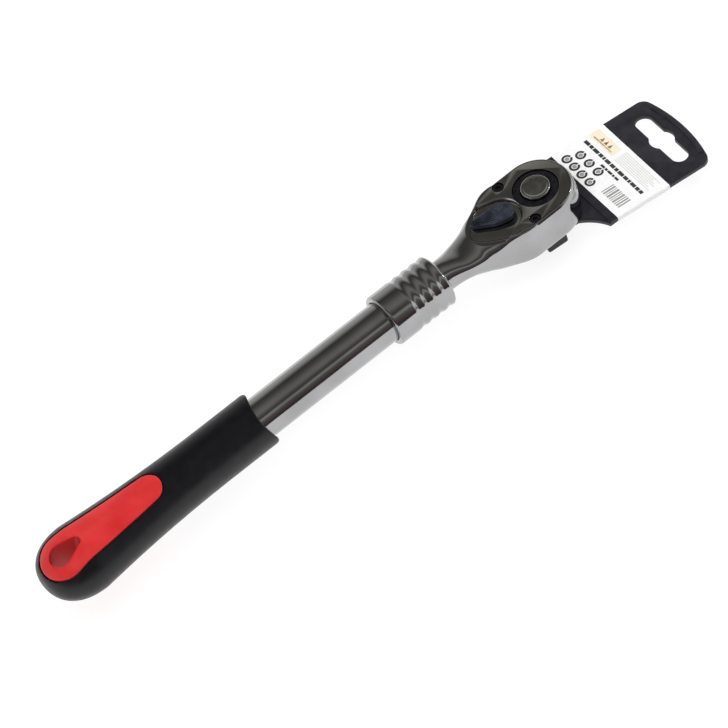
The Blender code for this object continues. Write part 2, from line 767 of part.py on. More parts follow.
def reversing_lever():
    """A round boss on the shaft whose tail narrows to a thumb grip with four grooves."""
    boss = teardrop(-4 * MM, LEVER_BOSS, 0, LEVER_BOSS - 0.01 * MM, 10)
    tail = teardrop(-LEVER_LENGTH, LEVER_TIP, -4 * MM, LEVER_BOSS, 8)
    lever = flat_piece("reversing_lever", [boss], LEVER_UNDER, LEVER_TOP, LEVER_BLACK, lever_axis)
    low, high = LEVER_UNDER + 0.02 * MM, LEVER_TOP - 0.02 * MM
    cut(lever, flat_piece("lever_tail", [tail], low, high, None, lever_axis), "UNION")
    for i in range(4):
        x = -LEVER_LENGTH + 1.2 * MM + i * 2.2 * MM
        wide = LEVER_BOSS + 2 * MM
        groove = box(
            f"lever_groove_{i}",
            (x, -wide, LEVER_TOP - 0.5 * MM),
            (x + 0.9 * MM, wide, LEVER_TOP + 1 * MM),
            None,
            lever_axis,
        )
        cut(lever, groove)
    stub = cylinder(
        "lever_bore",
        STUB_RADIUS + RUNNING,
        LEVER_UNDER - 1 * MM,
        LEVER_TOP - 0.6 * MM,
        None,
        lever_axis,
        steps=20,
    )
    return cut(lever, stub)


def selector_shaft():
    flange_low, flange_high = 3.2 * MM, SEAT - GAP
    shaft_end = -POCKET_FLOOR + 1.3 * MM
    profile = [
        (0, LEVER_TOP - 0.9 * MM),
        (STUB_RADIUS, LEVER_TOP - 0.9 * MM),
        (STUB_RADIUS, FLOOR - 0.1 * MM),
        (SHAFT_RADIUS, FLOOR - 0.1 * MM),
        (SHAFT_RADIUS, flange_high),
        (FLANGE_RADIUS, flange_high),
        (FLANGE_RADIUS, flange_low),
        (SHAFT_RADIUS, flange_low),
        (SHAFT_RADIUS, shaft_end),
        (0, shaft_end),
    ]
    shaft = turned("selector_shaft", profile, SPRING_STEEL, lever_axis, steps=28)
    at = (0, 0, -PLUNGER_DEPTH)
    bore = cylinder(
        "plunger_bore",
        PLUNGER_BORE,
        -1.9 * MM,
        SHAFT_RADIUS + 1 * MM,
        None,
        lever_axis,
        True,
        SMALL_STEPS,
        at,
    )
    return cut(shaft, bore)


def plunger_and_spring():
    at = (0, 0, -PLUNGER_DEPTH)
    back = 1.1 * MM
    profile = [
        (0, PLUNGER_REACH),
        (PLUNGER_RADIUS * 0.6, PLUNGER_REACH - 0.2 * MM),
        (PLUNGER_RADIUS, PLUNGER_REACH - 0.7 * MM),
        (PLUNGER_RADIUS, back),
        (0, back),
    ]
    turned("lever_plunger", profile, SPRING_STEEL, lever_axis, True, SMALL_STEPS, at)
    coil(
        "lever_spring",
        0.75 * MM,
        0.17 * MM,
        -1.7 * MM,
        back - 0.15 * MM,
        4,
        SPRING_STEEL,
        lever_axis,
        True,
        at,
        10,
    )


def pawl():
    """The rocking pawl: toothed at both wings, relieved in the middle, hollowed round the selector."""
    centre = -PAWL_PIVOT_X
    span = math.degrees(PAWL_HALF_SPAN)
    relief = math.degrees(PAWL_RELIEF_SPAN)
    outer = arc((centre, 0), PAWL_OUTER, 180 - span, 180 + span, 19)
    inner = (
        arc((centre, 0), PAWL_INNER, 180 + span, 180 + relief, 7)
        + arc((centre, 0), PAWL_INNER + 0.55 * MM, 180 + relief - 2, 180 - relief + 2, 11)
        + arc((centre, 0), PAWL_INNER, 180 - relief, 180 - span, 7)
    )
    low, high = -GEAR_BOTTOM + GAP, GEAR_TOP - GAP
    body = flat_piece("pawl", [outer + inner], low, high, SPRING_STEEL, pawl_axis)
    clear = PLUNGER_REACH + RUNNING
    selector_at = (LEVER_X - PAWL_PIVOT_X, 0, 0)
    cut(
        body,
        cylinder("selector_clearance", clear, low - 1 * MM, high + 1 * MM, None, pawl_axis, steps=32, at=selector_at),
    )
    for name, swing in (("upper", PAWL_SWING), ("lower", -PAWL_SWING)):
        where = (centre * math.cos(swing), centre * math.sin(swing))
        teeth = gear_outline(MESH_CLEARANCE, where, swing)
        cut(body, flat_piece(f"pawl_teeth_{name}", [teeth], low - 1 * MM, high + 1 * MM, None, pawl_axis))
    return body


# Tube, bush, guide and lock collar


def ring(name, inner, outer, rear, front, look, parent=handle_axis, steps=ROUND_STEPS):
    """A plain ring about the handle's axis; rear and front are distances behind the drive."""
    profile = [(outer, -front), (outer, -rear), (inner, -rear), (inner, -front)]
    return turned(name, profile, look, parent, along_x=True, steps=steps)


def outer_tube():
    groove = SNAP_RING_WIDTH / 2 + 0.15 * MM
    chamfer = 0.4 * MM
    profile = [
        (TUBE_RADIUS - chamfer, -TUBE_FRONT),
        (TUBE_RADIUS, -TUBE_FRONT - chamfer),
        (TUBE_RADIUS, -SNAP_RING_X + groove),
        (TUBE_RADIUS - chamfer, -SNAP_RING_X + groove),
        (TUBE_RADIUS - chamfer, -SNAP_RING_X - groove),
        (TUBE_RADIUS, -SNAP_RING_X - groove),
        (TUBE_RADIUS, -TUBE_REAR),
        (TUBE_BORE, -TUBE_REAR),
        (TUBE_BORE, -TUBE_FRONT),
    ]
    tube = turned("outer_tube", profile, CHROME, handle_axis, along_x=True)
    reach = TUBE_RADIUS + 2 * MM
    at = (-BALL_X, 0, 0)
    holes = cylinder(
        "ball_holes", LOCK_BALL_RADIUS + BALL_GAP, -reach, reach, None, handle_axis, steps=SMALL_STEPS, at=at
    )
    cut(tube, holes)
    bush_inner, bush_outer = BAR_RADIUS + GAP, TUBE_BORE - RUNNING
    bush = ring("guide_bush", bush_inner, bush_outer, BUSH_FRONT + BUSH_LENGTH, BUSH_FRONT, GUIDE_PLASTIC)
    cut(bush, holes)
    plug_front = TUBE_REAR - 4 * MM
    cylinder(
        "tube_plug", TUBE_BORE - RUNNING, -TUBE_REAR + GAP, -plug_front, GUIDE_PLASTIC, handle_axis, True
    )
    return tube


def bar_guide():
    ring(
        "bar_guide",
        SPIGOT_RADIUS + GAP,
        TUBE_BORE - RUNNING,
        GUIDE_FRONT + GUIDE_LENGTH,
        GUIDE_FRONT,
        GUIDE_PLASTIC,
    )
    half = 0.35 * MM
    rear, front = STOP_RING_X + half, STOP_RING_X - half
    ring(
        "stop_ring", SPIGOT_RADIUS - 0.35 * MM, SPIGOT_RADIUS + 1.5 * MM, rear, front, SPRING_STEEL, steps=24
    )


def collar_outside():
    """The collar's outer side, from the front lip back over its ribs to the rear chamfer."""
    rear = COLLAR_FRONT + COLLAR_LENGTH
    points = [
        (COLLAR_RADIUS - 3.0 * MM, -COLLAR_FRONT),
        (COLLAR_RADIUS - 1.2 * MM, -COLLAR_FRONT - 0.25 * MM),
        (COLLAR_RADIUS - 0.35 * MM, -COLLAR_FRONT - 0.8 * MM),
    ]
    start = COLLAR_FRONT + 1.4 * MM
    for i in range(COLLAR_RIBS):
        crest = start + i * RIB_PITCH
        valley = crest + RIB_PITCH * 0.8
        points += [
            (COLLAR_RADIUS, -crest),
            (COLLAR_RADIUS, -crest - RIB_PITCH * 0.55),
            (COLLAR_RADIUS - RIB_DEPTH, -valley + 0.25 * MM),
            (COLLAR_RADIUS - RIB_DEPTH, -valley - 0.25 * MM),
        ]
    points += [
        (COLLAR_RADIUS, -start - COLLAR_RIBS * RIB_PITCH),
        (COLLAR_RADIUS, -rear + 0.7 * MM),
        (COLLAR_RADIUS - 0.5 * MM, -rear),
    ]
    return points


def lock_collar():
    land = TUBE_RADIUS + RUNNING
    ramp_front = BALL_X - 0.4 * MM
    ramp_rear = ramp_front + COLLAR_TRAVEL * (CHAMBER_RADIUS - land) / LOCK_BALL_TRAVEL
    rear = COLLAR_FRONT + COLLAR_LENGTH
    inside = [
        (land, -rear),
        (land, -rear + REAR_LAND),
        (CHAMBER_RADIUS, -rear + REAR_LAND),
        (CHAMBER_RADIUS, -ramp_rear),
        (land, -ramp_front),
        (land, -COLLAR_FRONT - LIP_LENGTH - GAP),
        (BAR_RADIUS + 0.45 * MM, -COLLAR_FRONT - LIP_LENGTH - GAP),
        (BAR_RADIUS + 0.45 * MM, -COLLAR_FRONT - 0.5 * MM),
    ]
    return turned("lock_collar", collar_outside() + inside, CHROME, handle_axis, along_x=True)


def collar_lock_parts():
    half = SNAP_RING_WIDTH / 2
    ring_inner, ring_outer = TUBE_RADIUS - 0.25 * MM, CHAMBER_RADIUS - GAP
    ring(
        "collar_snap_ring",
        ring_inner,
        ring_outer,
        SNAP_RING_X + half,
        SNAP_RING_X - half,
        SPRING_STEEL,
        steps=32,
    )
    low = -(COLLAR_FRONT + COLLAR_LENGTH - REAR_LAND - GAP)
    high = -(SNAP_RING_X + half + GAP)
    coil("collar_spring", 9.85 * MM, 0.35 * MM, low, high, 4, SPRING_STEEL, handle_axis, True, steps=20)
    for name, side in (("upper", 1), ("lower", -1)):
        centre = (-BALL_X, 0, side * LOCK_BALL_CENTRE)
        ball(f"lock_ball_{name}", LOCK_BALL_RADIUS, centre, SPRING_STEEL, handle_axis)


# Grip


def grip_radius(distance):
    """Plain at the front, swelling towards the butt, and rounded off behind its widest place."""
    share = min(max((distance - GRIP_FLARE_START) / (GRIP_WIDEST - GRIP_FLARE_START), 0), 1)
    radius = GRIP_RADIUS + (BUTT_RADIUS - GRIP_RADIUS) * share**2.2
    if distance > GRIP_WIDEST:
        end = (distance - GRIP_WIDEST) / (GRIP_REAR - GRIP_WIDEST)
        radius *= (1 - end**2.3) ** (1 / 2.3)
    return radius


def grip_ring(distance, inset, count=36):
    share = min(max((distance - 180 * MM) / (55 * MM), 0), 1)
    ease = share * share * (3 - 2 * share)
    radius = grip_radius(distance)
    wide = radius * (1 + BUTT_WIDENING * ease) - inset
    tall = radius * (1 - BUTT_FLATTENING * ease) - inset
    angles = [2 * math.pi * i / count for i in range(count)]
    return [(-distance, wide * math.cos(a), tall * math.sin(a)) for a in angles]


def grip_solid(name, inset, look=None):
    """The grip's outer form, or the same form a distance inside it."""
    steps = (10, 19, 32, 42, 51, 59, 67, 75, 83, 90, 96, 101)
    ends = (10.5, 7.6, 5.2, 3.2, 1.7, 0.7)
    distances = [GRIP_FRONT + step * MM for step in steps] + [GRIP_REAR - end * MM for end in ends]
    if inset:
        rings = [grip_ring(GRIP_FRONT - 2 * MM, inset)]
        distances = [distance for distance in distances if grip_radius(distance) > inset + 3 * MM]
        return loft(name, rings + [grip_ring(distance, inset) for distance in distances], look, grip_axis)
    edge = ((0, 1.5), (0.45, 0.6), (1.2, 0.1), (1.8, 0))
    rings = [grip_ring(GRIP_FRONT + back * MM, drop * MM) for back, drop in edge]
    rings += [grip_ring(distance, 0) for distance in distances]
    rings.append(grip_ring(GRIP_REAR - 0.15 * MM, 0))
    return loft(name, rings, look, grip_axis)


def insert_solid(name, grow, look=None):
    """The red insert: a shallow teardrop inlay above and below, joined by the hang hole's wall."""
    outline = teardrop(INSERT_REAR_X, INSERT_REAR_RADIUS + grow, INSERT_FRONT_X, INSERT_FRONT_RADIUS + grow)
    high = BUTT_RADIUS + 3 * MM
    insert = flat_piece(name, [outline], -high, high, look, grip_axis)
    core = grip_solid(f"{name}_core", INSERT_DEPTH + grow)
    wall = HOLE_WALL + grow
    neck = teardrop(HOLE_REAR_X, HOLE_REAR_RADIUS + wall, HOLE_FRONT_X, HOLE_FRONT_RADIUS + wall, 9)
    cut(core, flat_piece(f"{name}_neck", [neck], -high - 1 * MM, high + 1 * MM, None, grip_axis))
    cut(insert, core)
    if grow:
        return insert
    hole = teardrop(HOLE_REAR_X, HOLE_REAR_RADIUS, HOLE_FRONT_X, HOLE_FRONT_RADIUS, 9)
    cut(insert, flat_piece("hang_hole", [hole], -high - 2 * MM, high + 2 * MM, None, grip_axis))
    cut(insert, grip_solid("insert_limit", 0), "INTERSECT")
    return insert


def grip():
    """The rubber sleeve, whose mouth is scalloped on two opposite sides, and its red insert."""
    sleeve = grip_solid("grip_sleeve", 0, GRIP_BLACK)
    reach = 2 * GRIP_RADIUS
    scallop = cylinder("mouth_scallop", MOUTH_BITE_RADIUS, -reach, reach, None, grip_axis)
    scallop.location = (-GRIP_FRONT - MOUTH_BITE + MOUTH_BITE_RADIUS, 0, 0)
    scallop.rotation_euler = (MOUTH_TURN, 0, 0)
    cut(sleeve, scallop)
    bore = cylinder(
        "tube_room", TUBE_RADIUS + GAP, -TUBE_REAR - GAP, -GRIP_FRONT + 5 * MM, None, grip_axis, True
    )
    cut(sleeve, bore)
    cut(sleeve, insert_solid("insert_room", GAP))
    insert_solid("grip_insert", 0, GRIP_RED)


# Retail hanger and its label


def hanger_outline():
    """The hanger's plan: a round stem under the head, hollow shoulders and a bowed far end."""
    stem = arc((0, 0), STEM_RADIUS, 90, 270, 17)
    near, far = math.radians(35), math.radians(70)
    slopes = [near + (far - near) * i / 6 for i in range(7)]
    shoulder = [
        (
            SHOULDER_X - SHOULDER_RADIUS * (math.sin(far) - math.sin(slope)),
            -HANGER_HALF_WIDTH + SHOULDER_RADIUS * (math.cos(slope) - math.cos(far)),
        )
        for slope in slopes
    ]
    bow_x = HANGER_END - END_RADIUS
    side = HANGER_HALF_WIDTH - CORNER_RADIUS
    lean = math.degrees(math.asin(side / (END_RADIUS - CORNER_RADIUS)))
    corner_x = bow_x + (END_RADIUS - CORNER_RADIUS) * math.cos(math.radians(lean))
    corner = arc((corner_x, -side), CORNER_RADIUS, -90, -lean, 6)
    bow = arc((bow_x, 0), END_RADIUS, -lean, lean, 11)[1:-1]
    upper = [(x, -y) for x, y in reversed(shoulder + corner)]
    return stem + shoulder + corner + bow + upper


def euro_slot():
    """The standard display slot, across the hanger: two round-ended lobes and a middle bulge."""
    half = SLOT_LENGTH / 2 - SLOT_LOBE
    spread = 45
    lobe = arc((0, half), SLOT_LOBE, 0, 180, 9)
    bulge = arc((0, 0), SLOT_BULGE, 180 - spread, 180 + spread, 7)
    side = lobe + bulge
    return [(SLOT_X + x, y) for x, y in side] + [(SLOT_X - x, -y) for x, y in side]


def retail_hanger():
    """A flat stem round the hub, joined to the plate that droops a little away from the head."""
    wide = HANGER_END + 20 * MM
    deep = 20 * MM
    join = SHOULDER_X + 0.5 * MM
    outline = hanger_outline()
    hanger = flat_piece("retail_hanger", [outline], -HANGER_THICKNESS, 0, HANGER_BLACK, hanger_plane)
    cut(hanger, box("stem_room", (-wide, -wide, -deep), (join, wide, deep), None, hanger_axis))
    stem_top = -BASE - GAP
    stem_bottom = stem_top - HANGER_THICKNESS
    stem = flat_piece("hanger_stem", [outline], stem_bottom, stem_top, None, hanger_axis)
    cut(stem, box("stem_limit", (join + 3 * MM, -wide, -deep), (wide, wide, deep), None, hanger_axis))
    cut(hanger, stem, "UNION")
    cut(hanger, flat_piece("slot_cut", [euro_slot()], -4 * MM, 4 * MM, None, hanger_plane))
    hub_hole = LOWER_HUB_RADIUS + GAP
    low, high = stem_bottom - 1 * MM, stem_top + 1 * MM
    return cut(hanger, cylinder("hub_hole", hub_hole, low, high, None, hanger_axis))


def hanger_label():
    half = HANGER_HALF_WIDTH - 0.1 * MM
    low = (LABEL_START, -half, LABEL_LIFT)
    high = (LABEL_END, half, LABEL_LIFT + LABEL_THICKNESS)
    return box("hanger_label", low, high, LABEL_WHITE, hanger_plane)


head_forging()
cover_plate()
cover_screw("cover_screw_upper", 1)
cover_screw("cover_screw_lower", -1)
drive_gear()
thrust_washer()
quick_release()
reversing_lever()
selector_shaft()
plunger_and_spring()
pawl()
outer_tube()
bar_guide()
lock_collar()
collar_lock_parts()
grip()
retail_hanger()
hanger_label()
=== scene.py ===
"""Looks of the extendable ratchet wrench on its display hanger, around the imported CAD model."""

import json
import math

import bmesh
import bpy
from mathutils import Matrix, Vector

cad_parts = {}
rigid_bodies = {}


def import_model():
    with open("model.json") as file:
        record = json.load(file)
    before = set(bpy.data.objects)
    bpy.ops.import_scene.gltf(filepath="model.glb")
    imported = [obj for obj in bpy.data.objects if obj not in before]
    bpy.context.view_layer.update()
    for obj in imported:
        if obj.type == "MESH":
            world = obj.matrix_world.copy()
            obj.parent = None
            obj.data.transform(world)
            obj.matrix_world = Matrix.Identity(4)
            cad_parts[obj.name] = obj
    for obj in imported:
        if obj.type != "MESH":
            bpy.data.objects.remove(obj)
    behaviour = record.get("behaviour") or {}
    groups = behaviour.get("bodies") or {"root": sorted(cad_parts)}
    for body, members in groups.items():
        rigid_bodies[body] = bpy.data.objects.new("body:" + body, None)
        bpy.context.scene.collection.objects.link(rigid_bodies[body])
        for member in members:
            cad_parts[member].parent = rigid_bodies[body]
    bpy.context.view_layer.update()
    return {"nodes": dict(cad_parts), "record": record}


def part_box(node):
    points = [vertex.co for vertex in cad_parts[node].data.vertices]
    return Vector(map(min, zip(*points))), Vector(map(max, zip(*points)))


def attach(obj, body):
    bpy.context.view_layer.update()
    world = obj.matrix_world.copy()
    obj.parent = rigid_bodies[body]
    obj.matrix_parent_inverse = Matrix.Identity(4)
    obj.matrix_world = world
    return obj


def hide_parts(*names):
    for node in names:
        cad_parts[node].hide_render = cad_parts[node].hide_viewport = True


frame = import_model()

MM = 0.001

# The height of the handle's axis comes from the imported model. The lengths below, in metres, are the CAD's
# design dimensions and those of details that only the looks have. The drive's axis is at x = 0, the grip
# lies towards -x, and heights start at the handle's axis
TUBE_LOW, TUBE_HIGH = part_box("outer_tube")
AXIS_Z = (TUBE_LOW[2] + TUBE_HIGH[2]) / 2

FACE = 7.8 * MM
FLOOR = 6.4 * MM
BASE = 10.0 * MM
HEAD_RADIUS = 15.3 * MM
HEAD_BULGE = 0.6 * MM
SIDE_END = 12.0 * MM
WAIST_X = 20.0 * MM
WAIST_DRAW = 1.9 * MM
RIM = 1.25 * MM
SEAT = 4.8 * MM
PLATE_GAP = 0.2 * MM
PLATE_TAIL = 33.6 * MM
RECESS_CENTRE = 19.3 * MM
RECESS_RADIUS = 8.7 * MM
RECESS_END = 44.0 * MM
RECESS_SLOPE = 1.2 * MM
OPENING = 9.7 * MM
POCKET_RADIUS = 11.3 * MM
POCKET_FLOOR = 7.0 * MM
BASE_OPENING = 7.9 * MM
SCREW_X = -10.0 * MM
SCREW_Y = 12.0 * MM
SCREW_SINK_RADIUS = 2.5 * MM
SCREW_SINK_FLOOR = 6.2 * MM
SCREW_HOLE_RADIUS = 1.5 * MM
LEVER_X = -16.8 * MM
LEVER_TURN = math.radians(-20)
LEVER_BOSS = 4.4 * MM
LEVER_LENGTH = 12.7 * MM
LEVER_TIP = 1.6 * MM
LEVER_UNDER = 6.65 * MM
LEVER_TOP = 8.75 * MM
LEVER_GROOVES = 5
LEVER_FAN = math.radians(8)
LEVER_BOSS_REACH = 4 * MM
LEVER_PIVOT_RADIUS = 2.2 * MM
LEVER_PIVOT_DEPTH = 0.6 * MM
GROOVE_HALF_WIDTH = 0.2 * MM
GROOVE_DEPTH = 0.55 * MM
SELECTOR_HOLE = 3.25 * MM
DRIVE_TURN = math.radians(-5)
HUB_RADIUS = 9.4 * MM
HUB_TOP = 7.4 * MM
HUB_STEP = 6.0 * MM
HUB_LOWER_RADIUS = 7.6 * MM
HUB_LOWER_END = 2.3 * MM
HUB_EDGE = 0.45 * MM
TEETH = 72
TOOTH_TIP = 10.9 * MM
TOOTH_DEPTH = 0.5 * MM
TEETH_LOW = -6.5 * MM
TEETH_TOP = 2.5 * MM
WELL_RADIUS = 6.5 * MM
WELL_FLOOR = 2.0 * MM
PIN_HOLE_RADIUS = 3.3 * MM
PIN_HOLE_FLOOR = 4.0 * MM
SQUARE = 9.5 * MM
BUTTON_RADIUS = 6.2 * MM
BUTTON_TOP = 9.0 * MM
BUTTON_UNDER = 4.6 * MM
BUTTON_PIN_HOLE = 1.9 * MM
BAR_RADIUS = 6.85 * MM
BAR_PLAY = 0.02 * MM
BAR_REAR = 180.4 * MM
BAR_STUD_RADIUS = 4.5 * MM
BAR_STUD_REAR = 199.5 * MM
NECK_END = 50.0 * MM
TUBE_RADIUS = 9.1 * MM
TUBE_FRONT = 57.0 * MM
TUBE_REAR = 236.0 * MM
TUBE_BORE = 8.1 * MM
COLLAR_FRONT = 53.0 * MM
COLLAR_LENGTH = 29.0 * MM
COLLAR_RADIUS = 11.6 * MM
COLLAR_BORE = 9.35 * MM
COLLAR_POCKET_RADIUS = 10.5 * MM
COLLAR_POCKET_FRONT = 68.1 * MM
COLLAR_RAMP_FRONT = 63.6 * MM
COLLAR_LIP_RADIUS = 7.3 * MM
COLLAR_LIP_REAR = 55.5 * MM
COLLAR_LIP_FRONT = 53.5 * MM
COLLAR_REAR_WALL = 1.7 * MM
COLLAR_RIBS = 4
RIB_PITCH = 4.4 * MM
RIB_DEPTH = 0.45 * MM
RIB_START = 1.4 * MM
RIB_STEPS = 16
GRIP_FRONT = 146.0 * MM
GRIP_REAR = 259.0 * MM
GRIP_WIDEST = 239.0 * MM
GRIP_FLARE_START = 165.0 * MM
GRIP_RADIUS = 12.05 * MM
BUTT_RADIUS = 15.35 * MM
BUTT_FLATTENING = 0.12
BUTT_WIDENING = 0.05
BUTT_BLEND_START = 180 * MM
BUTT_BLEND_LENGTH = 55 * MM
FLARE_POWER = 2.2
BUTT_POWER = 2.3
GRIP_EDGE = 1.8 * MM
GRIP_PLAY = 0.3 * MM
GRIP_ROLL = math.radians(6.5)
MOUTH_BITE = 4.6 * MM
MOUTH_BITE_RADIUS = 18.1 * MM
MOUTH_TURN = math.radians(31.5)
INSERT_REAR = (-247.4 * MM, 9.95 * MM)
INSERT_FRONT = (-204.0 * MM, 6.4 * MM)
INSERT_DEPTH = 1.6 * MM
HOLE_REAR = (-248.7 * MM, 4.9 * MM)
HOLE_FRONT = (-241.2 * MM, 2.4 * MM)
HOLE_WALL = 1.8 * MM
GROOVE = 0.35 * MM
SECTION_POINTS = 96
HANGER_TURN = math.radians(-2.5)
HANGER_DROOP = math.radians(6.0)
HANGER_HALF_WIDTH = 22.75 * MM
HANGER_THICKNESS = 1.8 * MM
HANGER_TOP = 8.0 * MM
STEM_RADIUS = 11.5 * MM
STEM_TOP = 10.3 * MM
HUB_HOLE = 7.9 * MM
SHOULDER_X = 16.2 * MM
SHOULDER_RADIUS = 23.0 * MM
HANGER_END = 70.0 * MM
END_RADIUS = 75.0 * MM
CORNER_RADIUS = 4.5 * MM
BOW_OUTER = 0.5 * MM
BOW_INNER = 2.6 * MM
BOW_SUNK = 0.9 * MM
BOW_RAISE = 0.35 * MM
BOW_LEAN = 13.5
SLOT_X = 59.1 * MM
SLOT_LENGTH = 31.5 * MM
SLOT_LOBE = 3.7 * MM
SLOT_BULGE = 5.3 * MM
LABEL_START = 20.3 * MM
LABEL_END = 46.2 * MM
PAPER = 0.15 * MM
PAPER_STAND_OFF = 0.3 * MM
INK = 0.04 * MM

# Widths in millimetres of the label's blocks of print and of its stripes
TITLE_WIDTHS = (3.1, 1.9, 3.4, 2.2, 1.2, 3.0, 2.6, 1.8, 3.3, 2.4, 1.4, 3.0, 2.0, 1.9)
SUBTITLE_WIDTHS = (2.4, 1.5, 2.6, 1.2, 2.3)
STRIPE_WIDTHS = (0.5, 0.9, 0.4, 1.1, 0.6, 0.4, 1.0, 0.5, 0.8, 0.7)

scratch = bpy.data.collections.new("scratch")
bpy.context.scene.collection.children.link(scratch)


# Helpers: a piece is drafted on the axis that it belongs to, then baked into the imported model's frame


def empty(location, parent=None, rotation=(0, 0, 0)):
    obj = bpy.data.objects.new("axis", None)
    obj.location = location
    obj.rotation_euler = rotation
    obj.parent = parent
    scratch.objects.link(obj)
    return obj


handle_axis = empty((0, 0, AXIS_Z))
drive_axis = empty((0, 0, 0), handle_axis, (0, 0, DRIVE_TURN))
lever_axis = empty((LEVER_X, 0, 0), handle_axis, (0, 0, LEVER_TURN))
grip_axis = empty((0, 0, 0), handle_axis, (GRIP_ROLL, 0, 0))
hanger_axis = empty((0, 0, 0), handle_axis, (0, 0, HANGER_TURN))
hanger_plane = empty((0, 0, -HANGER_TOP), hanger_axis, (0, HANGER_DROOP, 0))


def draft(bm, parent):
    mesh = bpy.data.meshes.new("draft")
    bmesh.ops.recalc_face_normals(bm, faces=bm.faces)
    bm.to_mesh(mesh)
    bm.free()
    obj = bpy.data.objects.new("draft", mesh)
    obj.parent = parent
    scratch.objects.link(obj)
    return obj


def cut(target, cutter, operation="DIFFERENCE"):
    modifier = target.modifiers.new("cut", "BOOLEAN")
    modifier.object = cutter
    modifier.operation = operation
    modifier.solver = "EXACT"
    return target


def evaluated_mesh(obj):
    bpy.context.view_layer.update()
    graph = bpy.context.evaluated_depsgraph_get()
    mesh = bpy.data.meshes.new_from_object(obj.evaluated_get(graph))
    mesh.transform(obj.matrix_world)
    return mesh


def bake(obj, name, body, look, replaces=(), sharp=35):
    """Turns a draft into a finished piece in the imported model's frame, riding on its body."""
    mesh = evaluated_mesh(obj)
    piece = bpy.data.objects.new(name, mesh)
    bpy.context.scene.collection.objects.link(piece)
    mesh.materials.clear()
    mesh.materials.append(look)
    mesh.shade_smooth()
    if sharp:
        mesh.set_sharp_from_angle(angle=math.radians(sharp))
    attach(piece, body)
    if replaces:
        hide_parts(*replaces)
    return piece


def soften(obj, voxel, passes):
    """Fuses a draft into one even skin and rounds its edges, as plating and moulding do."""
    remesh = obj.modifiers.new("skin", "REMESH")
    remesh.mode = "VOXEL"
    remesh.voxel_size = voxel
    smooth = obj.modifiers.new("soften", "SMOOTH")
    smooth.factor = 0.5
    smooth.iterations = passes
    return obj


def box(low, high, parent):
    bm = bmesh.new()
    bmesh.ops.create_cube(bm, size=1)
    bmesh.ops.scale(bm, vec=Vector(high) - Vector(low), verts=bm.verts)
    bmesh.ops.translate(bm, vec=(Vector(high) + Vector(low)) / 2, verts=bm.verts)
    return draft(bm, parent)


def rounded(profile, radius, steps=4, closed=True):
    """Replaces each corner of a profile with a small arc-like curve."""
    points = []
    count = len(profile)
    for i, corner in enumerate(profile):
        corner = Vector(corner)
        if not closed and i in (0, count - 1):
            points.append(corner)
            continue
        before = Vector(profile[i - 1]) - corner
        after = Vector(profile[(i + 1) % count]) - corner
        reach = min(radius, before.length * 0.45, after.length * 0.45)
        start = corner + before.normalized() * reach
        end = corner + after.normalized() * reach
        for step in range(steps + 1):
            t = step / steps
            points.append(start * (1 - t) ** 2 + corner * 2 * t * (1 - t) + end * t**2)
    return [tuple(point) for point in points]


def turned(profile, parent, along_x=False, steps=128, at=(0, 0, 0)):
    """A turned piece from (radius, height) points, closed into a ring when it starts off the axis."""
    bm = bmesh.new()
    ring = profile[0][0] > 0
    verts = [bm.verts.new((radius, 0, height)) for radius, height in profile]
    edges = [bm.edges.new(pair) for pair in zip(verts, verts[1:])]
    if ring:
        edges.append(bm.edges.new((verts[-1], verts[0])))
    bmesh.ops.spin(
        bm,
        geom=verts + edges,
        cent=(0, 0, 0),
        axis=(0, 0, 1),
        angle=2 * math.pi,
        steps=steps,
        use_merge=True,
    )
    bmesh.ops.remove_doubles(bm, verts=bm.verts, dist=0.000002)
    obj = draft(bm, parent)
    obj.location = at
    if along_x:
        obj.rotation_euler = (0, math.pi / 2, 0)
    return obj


def cylinder(radius, low, high, parent, steps=96, at=(0, 0, 0), along_x=False):
    return turned([(0, high), (radius, high), (radius, low), (0, low)], parent, along_x, steps, at)


def arc(centre, radius, start, end, count):
    angles = [math.radians(start + (end - start) * i / (count - 1)) for i in range(count)]
    return [(centre[0] + radius * math.cos(a), centre[1] + radius * math.sin(a)) for a in angles]


def prism(outline, bottom, top, parent):
    bm = bmesh.new()
    lower = [bm.verts.new((x, y, bottom)) for x, y in outline]
    upper = [bm.verts.new((x, y, top)) for x, y in outline]
    bm.faces.new(lower)
    bm.faces.new(upper)
    for i in range(len(outline)):
        j = (i + 1) % len(outline)
        bm.faces.new((lower[i], lower[j], upper[j], upper[i]))
    return draft(bm, parent)


def loft(rings, parent):
    bm = bmesh.new()
    loops = [[bm.verts.new(point) for point in ring] for ring in rings]
    for near, far in zip(loops, loops[1:]):
        for i in range(len(near)):
            j = (i + 1) % len(near)
            bm.faces.new((near[i], near[j], far[j], far[i]))
    bm.faces.new(loops[0])
    bm.faces.new(loops[-1])
    return draft(bm, parent)


def bevelled(obj, width, segments):
    bevel = obj.modifiers.new("edges", "BEVEL")
    bevel.width = width
    bevel.segments = segments
    bevel.limit_method = "ANGLE"
    bevel.angle_limit = math.radians(40)
    return obj


def teardrop(rear, front, grow=0.0, count=32):
    """Two rounds, each given as (x, radius), and the straight sides that touch both."""
    rear_x, rear_radius = rear
    front_x, front_radius = front
    tilt = math.degrees(math.acos((rear_radius - front_radius) / (front_x - rear_x)))
    ahead = arc((front_x, 0), front_radius + grow, -tilt, tilt, count)
    return ahead + arc((rear_x, 0), rear_radius + grow, tilt, 360 - tilt, count * 2)


